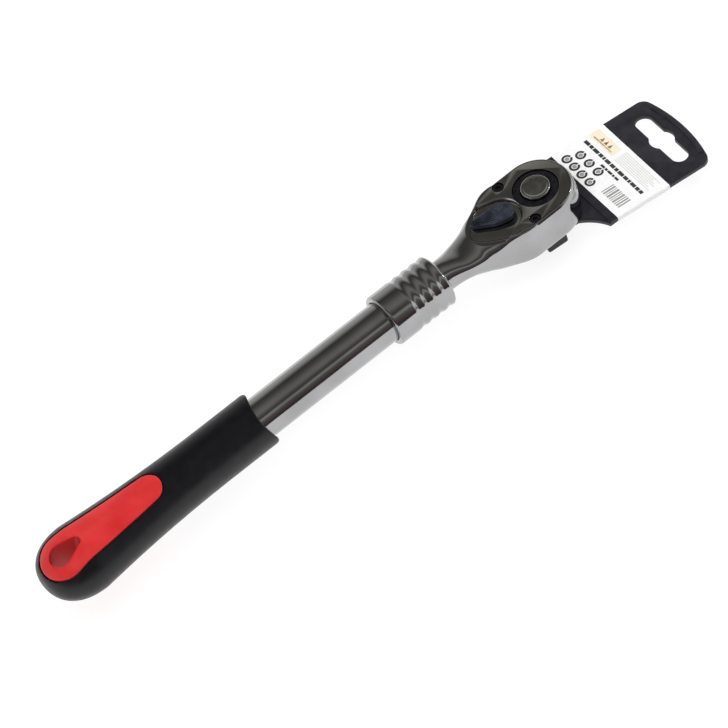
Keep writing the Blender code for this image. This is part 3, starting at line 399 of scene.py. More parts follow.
def spread(points, each):
    """Fills in between rows of numbers with a smooth curve through them."""
    rows = []
    for i in range(len(points) - 1):
        p0 = points[max(i - 1, 0)]
        p1, p2 = points[i], points[i + 1]
        p3 = points[min(i + 2, len(points) - 1)]
        for step in range(each):
            t = step / each
            row = []
            for a, b, c, d in zip(p0, p1, p2, p3):
                slope = (c - a) * t
                bend = (2 * a - 5 * b + 4 * c - d) * t * t
                twist = (3 * b - a - 3 * c + d) * t**3
                row.append(0.5 * (2 * b + slope + bend + twist))
            rows.append(row)
    rows.append(list(points[-1]))
    return rows


# Materials


def new_material(name, colour, roughness, metallic=0.0, **sockets):
    mat = bpy.data.materials.new(name)
    mat.use_nodes = True
    shader = mat.node_tree.nodes["Principled BSDF"]
    shader.inputs["Base Color"].default_value = (*colour, 1)
    shader.inputs["Roughness"].default_value = roughness
    shader.inputs["Metallic"].default_value = metallic
    for socket, value in sockets.items():
        shader.inputs[socket.replace("_", " ")].default_value = value
    return mat


def node(mat, kind, **values):
    made = mat.node_tree.nodes.new(kind)
    for key, value in values.items():
        if key in made.inputs:
            made.inputs[key].default_value = value
        else:
            setattr(made, key, value)
    return made


def vary(mat, scale, low, high):
    """Varies the roughness over the surface with soft noise, from low to high."""
    links = mat.node_tree.links
    shader = mat.node_tree.nodes["Principled BSDF"]
    coords = node(mat, "ShaderNodeTexCoord")
    noise = node(mat, "ShaderNodeTexNoise", Scale=scale, Detail=4.0)
    spread_out = node(mat, "ShaderNodeMapRange")
    spread_out.inputs["From Min"].default_value = 0.3
    spread_out.inputs["From Max"].default_value = 0.7
    spread_out.inputs["To Min"].default_value = low
    spread_out.inputs["To Max"].default_value = high
    links.new(coords.outputs["Object"], noise.inputs["Vector"])
    links.new(noise.outputs["Fac"], spread_out.inputs["Value"])
    links.new(spread_out.outputs["Result"], shader.inputs["Roughness"])
    return mat


def tint(mat, scale, first, second):
    """Mixes two near colours over the surface with soft noise."""
    links = mat.node_tree.links
    shader = mat.node_tree.nodes["Principled BSDF"]
    coords = node(mat, "ShaderNodeTexCoord")
    noise = node(mat, "ShaderNodeTexNoise", Scale=scale, Detail=5.0)
    ramp = node(mat, "ShaderNodeValToRGB")
    ramp.color_ramp.elements[0].position = 0.35
    ramp.color_ramp.elements[1].position = 0.65
    ramp.color_ramp.elements[0].color = (*first, 1)
    ramp.color_ramp.elements[1].color = (*second, 1)
    links.new(coords.outputs["Object"], noise.inputs["Vector"])
    links.new(noise.outputs["Fac"], ramp.inputs["Fac"])
    links.new(ramp.outputs["Color"], shader.inputs["Base Color"])
    return mat


def grain(mat, scale, strength, distance, stretch=(1, 1, 1), detail=3.0):
    """Fine surface relief."""
    links = mat.node_tree.links
    shader = mat.node_tree.nodes["Principled BSDF"]
    coords = node(mat, "ShaderNodeTexCoord")
    mapping = node(mat, "ShaderNodeMapping", Scale=stretch)
    noise = node(mat, "ShaderNodeTexNoise", Scale=scale, Detail=detail)
    bump = node(mat, "ShaderNodeBump", Strength=strength, Distance=distance)
    links.new(coords.outputs["Object"], mapping.inputs["Vector"])
    links.new(mapping.outputs["Vector"], noise.inputs["Vector"])
    links.new(noise.outputs["Fac"], bump.inputs["Height"])
    links.new(bump.outputs["Normal"], shader.inputs["Normal"])
    return mat


chrome = vary(new_material("chrome_plating", (0.39, 0.39, 0.40), 0.06, 1.0), 90, 0.04, 0.10)
tint(chrome, 60, (0.36, 0.36, 0.365), (0.42, 0.42, 0.43))
grain(chrome, 55, 0.35, 0.0004, (0.35, 1, 1), 2.0)
face_chrome = vary(new_material("chrome_face", (0.46, 0.455, 0.445), 0.1, 1.0), 160, 0.07, 0.15)
tint(face_chrome, 110, (0.41, 0.40, 0.385), (0.48, 0.475, 0.46))
grain(face_chrome, 900, 0.12, 0.00003)
black_steel = new_material("black_steel", (0.006, 0.006, 0.008), 0.3, Specular_IOR_Level=0.25)
vary(black_steel, 300, 0.22, 0.38)
tint(black_steel, 400, (0.004, 0.004, 0.006), (0.009, 0.009, 0.012))
lever_paint = vary(new_material("lever_paint", (0.02, 0.025, 0.035), 0.3), 300, 0.18, 0.32)
tint(lever_paint, 300, (0.012, 0.015, 0.022), (0.03, 0.035, 0.05))
button_steel = vary(new_material("button_steel", (0.42, 0.42, 0.41), 0.22, 1.0), 500, 0.16, 0.30)
tint(button_steel, 350, (0.36, 0.36, 0.355), (0.46, 0.46, 0.45))
ground_steel = vary(new_material("ground_steel", (0.5, 0.5, 0.5), 0.25, 1.0), 400, 0.18, 0.32)
grip_rubber = new_material("grip_rubber", (0.006, 0.006, 0.009), 0.42, Specular_IOR_Level=0.4)
vary(grip_rubber, 260, 0.33, 0.45)
tint(grip_rubber, 220, (0.0022, 0.0022, 0.0034), (0.0045, 0.0045, 0.007))
grain(grip_rubber, 2600, 0.18, 0.00004)
red_rubber = new_material("red_rubber", (0.66, 0.035, 0.035), 0.42, Specular_IOR_Level=0.45)
vary(red_rubber, 240, 0.36, 0.5)
tint(red_rubber, 120, (0.58, 0.016, 0.018), (0.66, 0.027, 0.028))
grain(red_rubber, 2200, 0.12, 0.00003)
nylon = vary(new_material("nylon", (0.75, 0.74, 0.70), 0.5), 300, 0.42, 0.58)
hanger_plastic = vary(new_material("hanger_plastic", (0.014, 0.014, 0.019), 0.45), 350, 0.38, 0.52)
tint(hanger_plastic, 260, (0.011, 0.011, 0.016), (0.018, 0.018, 0.024))
grain(hanger_plastic, 3000, 0.15, 0.00003)
label_paper = vary(new_material("label_paper", (0.86, 0.86, 0.87), 0.5), 400, 0.42, 0.58)
tint(label_paper, 500, (0.84, 0.84, 0.855), (0.88, 0.88, 0.885))
ink_black = vary(new_material("ink_black", (0.03, 0.03, 0.03), 0.5), 900, 0.42, 0.6)
ink_grey = vary(new_material("ink_grey", (0.30, 0.30, 0.29), 0.5), 900, 0.42, 0.6)
ink_cream = vary(new_material("ink_cream", (0.86, 0.76, 0.58), 0.5), 900, 0.42, 0.6)
ink_gold = vary(new_material("ink_gold", (0.30, 0.20, 0.09), 0.5), 900, 0.42, 0.6)
ink_pale = vary(new_material("ink_pale", (0.66, 0.66, 0.63), 0.5), 900, 0.42, 0.6)


# Head


def head_outline(grow):
    """Seen from above: half a round in front, and sides that draw in towards the neck."""
    radius = HEAD_RADIUS + grow
    upper = [(-SIDE_END, radius), (-WAIST_X, radius - WAIST_DRAW), (-24 * MM, radius - 4.4 * MM)]
    lower = [(x, -y) for x, y in reversed(upper)]
    return arc((0, 0), radius, -90, 90, 65) + upper + lower


def head_block():
    """The round end of the head, whose side wall bulges slightly between its lower and upper edges."""
    levels = [
        (-BASE, -1.5 * MM),
        (-BASE + 0.5 * MM, -0.6 * MM),
        (-BASE + 1.5 * MM, 0.05 * MM),
        (-BASE + 4.0 * MM, HEAD_BULGE),
        (0.0, HEAD_BULGE + 0.1 * MM),
        (FACE - 3.5 * MM, HEAD_BULGE * 0.8),
        (FACE - 1.7 * MM, 0.25 * MM),
        (FACE - 0.6 * MM, -0.25 * MM),
        (FACE + 0.2 * MM, -0.75 * MM),
        (FACE + 1.0 * MM, -1.3 * MM),
    ]
    return loft([[(x, y, z) for x, y in head_outline(grow)] for z, grow in spread(levels, 4)], handle_axis)


def neck_ring(x, half_width, top, bottom, top_power, bottom_power):
    """A section of the neck in millimetres: an oval, squarer at higher powers, unlike above and below."""
    points = []
    for i in range(SECTION_POINTS):
        angle = 2 * math.pi * i / SECTION_POINTS
        across, up = math.cos(angle), math.sin(angle)
        power = 2 / (top_power if up >= 0 else bottom_power)
        height = top if up >= 0 else bottom
        y = half_width * math.copysign(abs(across) ** power, across)
        z = height * math.copysign(abs(up) ** power, up)
        points.append((x * MM, y * MM, z * MM))
    return points


def head_neck():
    """The neck, from the head's full width down to the round bar."""
    sections = [
        (-12, 15.7, 9.6, 10.0, 7, 12),
        (-16, 15.5, 9.8, 10.0, 7, 12),
        (-20, 14.6, 9.8, 10.0, 5, 9),
        (-25, 12.9, 9.2, 9.7, 3.2, 6),
        (-30, 11.6, 7.8, 9.1, 2.8, 4),
        (-33, 10.5, 7.0, 8.5, 2.5, 3.2),
        (-35.5, 9.8, 5.7, 8.0, 2.5, 2.8),
        (-39, 8.9, 5.1, 7.2, 2.5, 2.3),
        (-42, 8.2, 5.2, 6.8, 2.4, 2.1),
        (-46, 7.3, 6.1, 6.75, 2.1, 2),
        (-50, 6.85, 6.85, 6.85, 2, 2),
        (-54, 6.85, 6.85, 6.85, 2, 2),
    ]
    return loft([neck_ring(*row) for row in spread(sections, 4)], handle_axis)


def recess_outline(grow=0.0):
    turn = 70
    front = arc((-RECESS_CENTRE, 0), RECESS_RADIUS + grow, -turn, turn, 41)
    corner_x = -27 * MM
    last_x, last_y = front[-1]
    reach = last_y + (last_x - corner_x) / math.tan(math.radians(turn))
    wide = HEAD_RADIUS + 10 * MM
    upper = [(corner_x, reach), (corner_x, wide), (-RECESS_END, wide)]
    return front + upper + [(x, -y) for x, y in reversed(upper)]


def recess():
    """The lever's recess, whose walls slope outwards above its floor."""
    lower = [(x, y, FLOOR) for x, y in recess_outline()]
    middle = [(x, y, FLOOR + 0.3 * MM) for x, y in recess_outline(0.1 * MM)]
    upper = [(x, y, FACE + 0.3 * MM) for x, y in recess_outline(RECESS_SLOPE)]
    above = [(x, y, FACE + 4 * MM) for x, y in recess_outline(RECESS_SLOPE)]
    return loft([lower, middle, upper, above], handle_axis)


def plate_outline(grow):
    """The cover plate's edge, which follows the head's inside its rim and ends in a point."""
    radius = HEAD_RADIUS - RIM + grow
    upper = [
        (-SIDE_END, radius),
        (-WAIST_X, radius - WAIST_DRAW),
        (-25 * MM, radius - 4.9 * MM),
        (-30 * MM, 5.2 * MM + grow),
        (-PLATE_TAIL + 0.8 * MM, 1.9 * MM + grow),
    ]
    lower = [(x, -y) for x, y in reversed(upper)]
    return arc((0, 0), radius, -90, 90, 65) + upper + [(-PLATE_TAIL - grow, 0.0)] + lower


def head_body():
    head = head_block()
    cut(head, head_neck(), "UNION")
    soften(head, 0.35 * MM, 14)
    base_form = bpy.data.objects.new("base_form", evaluated_mesh(head))
    base_form.data.transform(Matrix.Translation((0, 0, -AXIS_Z)))
    base_form.parent = handle_axis
    scratch.objects.link(base_form)
    wide = HEAD_RADIUS + 12 * MM
    cut(base_form, box((-45 * MM, -wide, FACE), (wide, wide, FACE + 8 * MM), handle_axis))
    cut(base_form, recess())
    cut(base_form, prism(plate_outline(PLATE_GAP), SEAT - PLATE_GAP, FACE + 3 * MM, handle_axis))
    cut(base_form, cylinder(POCKET_RADIUS, -POCKET_FLOOR, SEAT + 1 * MM, handle_axis))
    cut(base_form, cylinder(BASE_OPENING, -BASE - 1 * MM, -POCKET_FLOOR + 1 * MM, handle_axis))
    soften(base_form, 0.22 * MM, 4)
    bake(base_form, "head_body", "head", chrome, ["head_forging"], sharp=0)
    profile = [
        (0, -NECK_END - 0.5 * MM),
        (BAR_RADIUS - BAR_PLAY, -NECK_END - 0.5 * MM),
        (BAR_RADIUS - BAR_PLAY, -BAR_REAR),
        (BAR_STUD_RADIUS, -BAR_REAR),
        (BAR_STUD_RADIUS, -BAR_STUD_REAR),
        (0, -BAR_STUD_REAR),
    ]
    bake(turned(profile, handle_axis, True), "sliding_bar", "head", chrome)


def cover_plate():
    plate = prism(plate_outline(0), SEAT, FACE, handle_axis)
    cut(plate, recess())
    cut(plate, cylinder(OPENING, SEAT - 1 * MM, FACE + 1 * MM, handle_axis, 128))
    cut(plate, cylinder(SELECTOR_HOLE, SEAT - 1 * MM, FACE, handle_axis, 64, (LEVER_X, 0, 0)))
    for side in (1, -1):
        at = (SCREW_X, side * SCREW_Y, 0)
        profile = [
            (0, FACE + 1 * MM),
            (SCREW_SINK_RADIUS, FACE + 1 * MM),
            (SCREW_SINK_RADIUS, SCREW_SINK_FLOOR),
            (SCREW_HOLE_RADIUS, SCREW_SINK_FLOOR),
            (SCREW_HOLE_RADIUS, SEAT - 1 * MM),
            (0, SEAT - 1 * MM),
        ]
        cut(plate, turned(profile, handle_axis, steps=64, at=at))
    bevelled(plate, 0.3 * MM, 3)
    bake(plate, "face_plate", "head", face_chrome, ["cover_plate"], sharp=40)


def drive():
    hub = [
        (0, HUB_TOP),
        (HUB_RADIUS, HUB_TOP),
        (HUB_RADIUS, -HUB_STEP),
        (HUB_LOWER_RADIUS, -HUB_STEP),
        (HUB_LOWER_RADIUS, -BASE - HUB_LOWER_END),
        (0, -BASE - HUB_LOWER_END),
    ]
    gear = turned(rounded(hub, HUB_EDGE, closed=False), drive_axis)
    teeth = []
    pitch = math.radians(360 / TEETH)
    for tooth in range(TEETH):
        for share, up in ((-0.32, 0), (-0.12, 1), (0.12, 1), (0.32, 0)):
            radius = TOOTH_TIP - TOOTH_DEPTH * (1 - up)
            angle = (tooth + share) * pitch
            teeth.append((radius * math.cos(angle), radius * math.sin(angle)))
    cut(gear, prism(teeth, TEETH_LOW, TEETH_TOP, drive_axis), "UNION")
    half = SQUARE / 2
    square = box((-half, -half, -AXIS_Z), (half, half, -BASE), drive_axis)
    bevelled(square, 0.8 * MM, 4)
    cut(gear, square, "UNION")
    well = [
        (0, FACE + 2 * MM),
        (WELL_RADIUS, FACE + 2 * MM),
        (WELL_RADIUS, WELL_FLOOR),
        (PIN_HOLE_RADIUS, WELL_FLOOR),
        (PIN_HOLE_RADIUS, -PIN_HOLE_FLOOR),
        (0, -PIN_HOLE_FLOOR),
    ]
    cut(gear, turned(well, drive_axis))
    bevelled(gear, 0.12 * MM, 2)
    bake(gear, "drive_body", "drive", black_steel, ["drive_gear"])


def button():
    dome = [
        (0, BUTTON_TOP - 0.25 * MM),
        (BUTTON_RADIUS - 1.5 * MM, BUTTON_TOP - 0.22 * MM),
        (BUTTON_RADIUS - 0.9 * MM, BUTTON_TOP),
        (BUTTON_RADIUS - 0.3 * MM, BUTTON_TOP - 0.1 * MM),
        (BUTTON_RADIUS, BUTTON_TOP - 0.6 * MM),
        (BUTTON_RADIUS, BUTTON_UNDER),
        (BUTTON_PIN_HOLE, BUTTON_UNDER),
        (BUTTON_PIN_HOLE, BUTTON_UNDER + 2 * MM),
        (0, BUTTON_UNDER + 2 * MM),
    ]
    piece = turned(rounded(dome, 0.3 * MM, closed=False), drive_axis)
    bake(piece, "button_cap", "button", button_steel, ["release_button"], sharp=50)


def lever():
    outline = teardrop((-LEVER_BOSS_REACH, LEVER_BOSS), (0, LEVER_BOSS - 0.01 * MM))
    body = prism(outline, LEVER_UNDER, LEVER_TOP, lever_axis)
    tail = teardrop((-LEVER_LENGTH, LEVER_TIP), (-LEVER_BOSS_REACH, LEVER_BOSS), count=24)
    cut(body, prism(tail, LEVER_UNDER, LEVER_TOP, lever_axis), "UNION")
    for i in range(LEVER_GROOVES):
        share = i / (LEVER_GROOVES - 1) * 2 - 1
        fan = empty((-LEVER_LENGTH - 9 * MM, 0, 0), lever_axis, (0, 0, share * LEVER_FAN))
        low = (0, -GROOVE_HALF_WIDTH, LEVER_TOP - GROOVE_DEPTH)
        high = (LEVER_LENGTH + 5 * MM, GROOVE_HALF_WIDTH, LEVER_TOP + 1 * MM)
        cut(body, box(low, high, fan))
    pivot_top = LEVER_TOP - LEVER_PIVOT_DEPTH
    cut(body, cylinder(LEVER_PIVOT_RADIUS, LEVER_UNDER - 1 * MM, pivot_top, lever_axis, 48))
    soften(body, 0.12 * MM, 3)
    bake(body, "lever_body", "lever", lever_paint, ["reversing_lever"], sharp=0)


# Tube and collar


def tube():
    profile = [
        (TUBE_RADIUS, -TUBE_FRONT),
        (TUBE_RADIUS, -TUBE_REAR),
        (TUBE_BORE, -TUBE_REAR),
        (TUBE_BORE, -TUBE_FRONT),
    ]
    piece = turned(rounded(profile, 0.4 * MM), handle_axis, True)
    bake(piece, "chrome_tube", "handle", chrome, ["outer_tube"])


def collar():
    rear = COLLAR_FRONT + COLLAR_LENGTH
    points = [
        (COLLAR_RADIUS - 3.0 * MM, -COLLAR_FRONT),
        (COLLAR_RADIUS - 1.2 * MM, -COLLAR_FRONT - 0.25 * MM),
        (COLLAR_RADIUS - 0.35 * MM, -COLLAR_FRONT - 0.8 * MM),
    ]
    start = COLLAR_FRONT + RIB_START
    waves = COLLAR_RIBS * RIB_STEPS
    for i in range(waves + 1):
        dip = (1 - math.cos(2 * math.pi * i / RIB_STEPS)) / 2
        points.append((COLLAR_RADIUS - RIB_DEPTH * dip, -start - i * RIB_PITCH / RIB_STEPS))
    points += [
        (COLLAR_RADIUS, -rear + 0.7 * MM),
        (COLLAR_RADIUS - 0.5 * MM, -rear),
        (COLLAR_BORE, -rear),
        (COLLAR_BORE, -rear + COLLAR_REAR_WALL),
        (COLLAR_POCKET_RADIUS, -rear + COLLAR_REAR_WALL),
        (COLLAR_POCKET_RADIUS, -COLLAR_POCKET_FRONT),
        (COLLAR_BORE, -COLLAR_RAMP_FRONT),
        (COLLAR_BORE, -COLLAR_LIP_REAR),
        (COLLAR_LIP_RADIUS, -COLLAR_LIP_REAR),
        (COLLAR_LIP_RADIUS, -COLLAR_LIP_FRONT),
    ]
    piece = turned(rounded(points, 0.3 * MM), handle_axis, True, 160)
    bake(piece, "collar_body", "collar", chrome, ["lock_collar"], sharp=50)


# Grip


def grip_radius(distance):
    """The grip's radius at a distance behind the drive: straight, then flared, then a rounded butt."""
    share = min(max((distance - GRIP_FLARE_START) / (GRIP_WIDEST - GRIP_FLARE_START), 0), 1)
    radius = GRIP_RADIUS + (BUTT_RADIUS - GRIP_RADIUS) * share**FLARE_POWER
    if distance > GRIP_WIDEST:
        end = (distance - GRIP_WIDEST) / (GRIP_REAR - GRIP_WIDEST)
        radius *= max(1 - end**BUTT_POWER, 0) ** (1 / BUTT_POWER)
    return radius


def grip_ring(distance, inset):
    """A section of the grip, which turns from round to a slightly flat oval towards the butt."""
    share = min(max((distance - BUTT_BLEND_START) / BUTT_BLEND_LENGTH, 0), 1)
    ease = share * share * (3 - 2 * share)
    radius = grip_radius(distance)
    wide = radius * (1 + BUTT_WIDENING * ease) - inset
    tall = radius * (1 - BUTT_FLATTENING * ease) - inset
    angles = [2 * math.pi * i / SECTION_POINTS for i in range(SECTION_POINTS)]
    return [(-distance, wide * math.cos(a), tall * math.sin(a)) for a in angles]


def grip_solid(inset):
    """The whole grip without holes, or its core where inset says how far in the surface lies."""
    body = 60
    tail = 24
    spans = [GRIP_FRONT + GRIP_EDGE + (GRIP_WIDEST - GRIP_FRONT - GRIP_EDGE) * i / body for i in range(body)]
    reach = GRIP_REAR - GRIP_WIDEST
    spans += [GRIP_WIDEST + reach * math.sin(math.pi / 2 * i / tail) for i in range(tail)]
    spans = [span for span in spans if grip_radius(span) > inset + 2 * MM]
    if inset:
        rings = [grip_ring(GRIP_FRONT - 2 * MM, inset)]
        rings += [grip_ring(span, inset) for span in spans]
        return loft(rings, grip_axis)
    edge = [(0, 1.6), (0.12, 1.1), (0.45, 0.6), (0.9, 0.25), (1.4, 0.06)]
    rings = [grip_ring(GRIP_FRONT + back * MM, drop * MM) for back, drop in edge]
    rings += [grip_ring(span, 0) for span in spans]
    return loft(rings, grip_axis)


def insert_solid(grow):
    """The inlay, a band of the grip's surface on both sides joined by the wall of the hanging hole."""
    high = BUTT_RADIUS + 3 * MM
    insert = prism(teardrop(INSERT_REAR, INSERT_FRONT, grow), -high, high, grip_axis)
    core = grip_solid(INSERT_DEPTH + grow)
    neck = teardrop(HOLE_REAR, HOLE_FRONT, HOLE_WALL + grow)
    cut(core, prism(neck, -high - 1 * MM, high + 1 * MM, grip_axis))
    cut(insert, core)
    if grow:
        return insert
    cut(insert, prism(teardrop(HOLE_REAR, HOLE_FRONT), -high - 2 * MM, high + 2 * MM, grip_axis))
    return cut(insert, grip_solid(0.0), "INTERSECT")


def grip():
    sleeve = grip_solid(0.0)
    bore_rear = -TUBE_REAR - GRIP_PLAY
    bore_front = -GRIP_FRONT + 5 * MM
    cut(sleeve, cylinder(TUBE_RADIUS + GRIP_PLAY, bore_rear, bore_front, grip_axis, along_x=True))
    cut(sleeve, insert_solid(GROOVE))
    reach = 2 * GRIP_RADIUS
    scallop = cylinder(MOUTH_BITE_RADIUS, -reach, reach, grip_axis, 160)
    scallop.location = (-GRIP_FRONT - MOUTH_BITE + MOUTH_BITE_RADIUS, 0, 0)
    scallop.rotation_euler = (MOUTH_TURN, 0, 0)
    cut(sleeve, scallop)
    soften(sleeve, 0.4 * MM, 5)
    bake(sleeve, "grip_body", "handle", grip_rubber, ["grip_sleeve"], sharp=0)
    insert = soften(insert_solid(0.0), 0.3 * MM, 7)
    bake(insert, "grip_inlay", "handle", red_rubber, ["grip_insert"], sharp=0)


# Hanger and label


def hanger_outline():
    """A round stem, hollow shoulders, straight sides and a bowed end with round corners."""
    stem = arc((0, 0), STEM_RADIUS, 90, 270, 49)
    near, far = math.radians(35), math.radians(70)
    slopes = [near + (far - near) * i / 20 for i in range(21)]
    shoulder = [
        (
            SHOULDER_X - SHOULDER_RADIUS * (math.sin(far) - math.sin(slope)),
            -HANGER_HALF_WIDTH + SHOULDER_RADIUS * (math.cos(slope) - math.cos(far)),
        )
        for slope in slopes
    ]
    bow_x = HANGER_END - END_RADIUS
    side = HANGER_HALF_WIDTH - CORNER_RADIUS
    lean = math.degrees(math.asin(side / (END_RADIUS - CORNER_RADIUS)))
    corner_x = bow_x + (END_RADIUS - CORNER_RADIUS) * math.cos(math.radians(lean))
    corner = arc((corner_x, -side), CORNER_RADIUS, -90, -lean, 16)
    bow = arc((bow_x, 0), END_RADIUS, -lean, lean, 31)[1:-1]
    return stem + shoulder + corner + bow + [(x, -y) for x, y in reversed(shoulder + corner)]


def euro_slot():
    half = SLOT_LENGTH / 2 - SLOT_LOBE
    side = arc((0, half), SLOT_LOBE, 0, 180, 24) + arc((0, 0), SLOT_BULGE, 135, 225, 20)
    return [(SLOT_X + x, y) for x, y in side] + [(SLOT_X - x, -y) for x, y in side]


def hanger():
    """The drooping plate and the flat stem round the drive's hub, joined in one piece, with a raised bow."""
    wide = HANGER_END + 20 * MM
    deep = 20 * MM
    join = SHOULDER_X + 0.5 * MM
    plate = prism(hanger_outline(), -HANGER_THICKNESS, 0, hanger_plane)
    cut(plate, box((-wide, -wide, -deep), (join, wide, deep), hanger_axis))
    stem = prism(hanger_outline(), -STEM_TOP - HANGER_THICKNESS, -STEM_TOP, hanger_axis)
    cut(stem, box((join + 3 * MM, -wide, -deep), (wide, wide, deep), hanger_axis))
    cut(plate, stem, "UNION")
    cut(plate, prism(euro_slot(), -4 * MM, 4 * MM, hanger_plane))
    cut(plate, cylinder(HUB_HOLE, -STEM_TOP - HANGER_THICKNESS - 1 * MM, -STEM_TOP + 1 * MM, hanger_axis))
    bow_x = HANGER_END - END_RADIUS
    strip = arc((bow_x, 0), END_RADIUS - BOW_OUTER, -BOW_LEAN, BOW_LEAN, 40)
    strip += arc((bow_x, 0), END_RADIUS - BOW_INNER, BOW_LEAN, -BOW_LEAN, 40)
    cut(plate, prism(strip, -BOW_SUNK, BOW_RAISE, hanger_plane), "UNION")
    bevelled(plate, 0.35 * MM, 3)
    bake(plate, "hanger_body", "hanger", hanger_plastic, ["retail_hanger"], sharp=40)


def label_band():
    """A printed paper band wrapped round both edges of the hanger."""
    side = HANGER_HALF_WIDTH + PAPER_STAND_OFF
    top, bottom = PAPER_STAND_OFF, -HANGER_THICKNESS - PAPER_STAND_OFF
    loop = rounded([(-side, top), (side, top), (side, bottom), (-side, bottom)], 0.6 * MM, 6)
    side -= PAPER
    top -= PAPER
    bottom += PAPER
    inner_loop = rounded([(-side, top), (side, top), (side, bottom), (-side, bottom)], 0.5 * MM, 6)
    bm = bmesh.new()
    rows = []
    for x in (LABEL_START, LABEL_END):
        rows.append([bm.verts.new((x, y, z)) for y, z in loop])
        rows.append([bm.verts.new((x, y, z)) for y, z in inner_loop])
    for first, second in ((0, 2), (2, 3), (3, 1), (1, 0)):
        for i in range(len(loop)):
            j = (i + 1) % len(loop)
            bm.faces.new((rows[first][i], rows[first][j], rows[second][j], rows[second][i]))
    band = draft(bm, hanger_plane)
    bake(band, "label_band", "hanger", label_paper, ["hanger_label"], sharp=40)


def bar(x0, x1, y0, y1):
    return [(x0, y0), (x1, y0), (x1, y1), (x0, y1)]


def run_of_bars(x0, x1, y, widths, gap):
    """Bars of different widths side by side, as blocks of print or code stripes look from afar."""
    bars = []
    for width in widths:
        bars.append(bar(x0, x1, y - width, y))
        y -= width + gap
    return bars


def ring(x, y, radius, inner):
    """A disc with a slit, so that it can be one outline round a smaller centre."""
    gap = 8
    outer = arc((x, y), radius, gap, 360 - gap, 24)
    return outer + list(reversed(arc((x, y), inner, gap, 360 - gap, 24)))


def mark(name, look, outlines):
    """Ink on the label's upper face, from outlines in millimetres."""
    bm = bmesh.new()
    for outline in outlines:
        lower = [bm.verts.new((x * MM, y * MM, PAPER_STAND_OFF)) for x, y in outline]
        upper = [bm.verts.new((x * MM, y * MM, PAPER_STAND_OFF + INK)) for x, y in outline]
        bm.faces.new(lower)
        bm.faces.new(upper)
        for i in range(len(outline)):
            j = (i + 1) % len(outline)
            bm.faces.new((lower[i], lower[j], upper[j], upper[i]))
    bake(draft(bm, hanger_plane), name, "hanger", look, sharp=40)


def label_marks():
    """Plain generic marks where a label has its pictures, title, small print and stripes."""
    column = [(24.1, 16.9), (23.9, 11.5), (23.6, 6.0), (23.5, 0.4)]
    column += [(29.5, 14.9), (29.4, 8.9), (29.3, 2.7)]
    mark("label_icons", ink_black, [ring(x, y, 2.3, 1.3) for x, y in column])
    mark("label_icon_centres", ink_grey, [arc((x, y), 1.0, 0, 330, 12) for x, y in column])
    mark("label_title_bar", ink_black, run_of_bars(34.6, 36.2, 20.0, TITLE_WIDTHS, 0.45))
    mark("label_subtitle_bar", ink_black, run_of_bars(31.9, 33.0, 5.0, SUBTITLE_WIDTHS, 0.4))
    mark("label_emblem_field", ink_cream, [bar(38.4, 43.6, 6.0, 21.5)])
    peaks = [[(40.2, y), (40.2, y + 2.0), (42.4, y + 1.0)] for y in (9.4, 12.0, 14.6)]
    mark("label_emblem", ink_gold, [bar(39.2, 39.8, 7.6, 19.4)] + peaks)
    fine = [bar(38.0 + 0.95 * row, 38.4 + 0.95 * row, -19.6 + 1.6 * (row % 3), 3.6) for row in range(7)]
    mark("label_fine_lines", ink_pale, fine)
    mark("label_stripes", ink_grey, run_of_bars(23.6, 29.8, -7.0, STRIPE_WIDTHS, 0.55))


head_body()
cover_plate()
drive()
button()
lever()
tube()
collar()
grip()
hanger()
label_band()
label_marks()

# Materials of the CAD nodes, by their material slots

LOOKS = {
    "blackened_steel": black_steel,
    "bright_steel": ground_steel,
    "guide_plastic": nylon,
    "chrome": chrome,
    "lever_black": lever_paint,
    "button_metal": button_steel,
    "grip_black": grip_rubber,
    "grip_red": red_rubber,
    "hanger_black": hanger_plastic,
    "label_paper": label_paper,
}
for part in frame["record"]["subparts"]:
    kept = frame["nodes"][part["node"]]
    kept.data.materials.clear()
    kept.data.materials.append(LOOKS[part["material_slot"]])

for obj in list(scratch.objects):
    bpy.data.objects.remove(obj, do_unlink=True)
bpy.data.collections.remove(scratch)


# Stage, light and camera

FLOOR_HALF = 6.0
FLOOR_DROP = 3 * MM
FLOOR_GREY = 0.2
FLOOR_GLOW = 0.86
SIDE_WALL_FROM = 0.68
SIDE_WALL_FULL = 0.90
ROOM_TURN = math.radians(65.9)
VIEW_RIGHT = Vector((1.898, -1.535, -0.539)).normalized()
VIEW_UP = Vector((1.485, 1.296, 1.539)).normalized()
VIEW_ACROSS = -70.2 * MM
VIEW_ALONG = -65.56 * MM
VIEW_WIDTH = 291.2 * MM
CAMERA_DISTANCE = 8.0


def stage():
    """A wide pale floor just below the object, which glows a little so that it stays white."""
    bm = bmesh.new()
    bmesh.ops.create_grid(bm, x_segments=1, y_segments=1, size=FLOOR_HALF)
    mesh = bpy.data.meshes.new("studio_floor")
    bm.to_mesh(mesh)
    bm.free()
    floor = bpy.data.objects.new("studio_floor", mesh)
    floor.location = (0, 0, -FLOOR_DROP)
    bpy.context.scene.collection.objects.link(floor)
    mat = bpy.data.materials.new("studio_floor")
    mat.use_nodes = True
    shader = mat.node_tree.nodes["Principled BSDF"]
    shader.inputs["Base Color"].default_value = (FLOOR_GREY, FLOOR_GREY, FLOOR_GREY, 1)
    shader.inputs["Roughness"].default_value = 1.0
    shader.inputs["Specular IOR Level"].default_value = 0.0
    shader.inputs["Emission Color"].default_value = (1, 1, 1, 1)
    shader.inputs["Emission Strength"].default_value = FLOOR_GLOW
    mesh.materials.append(mat)


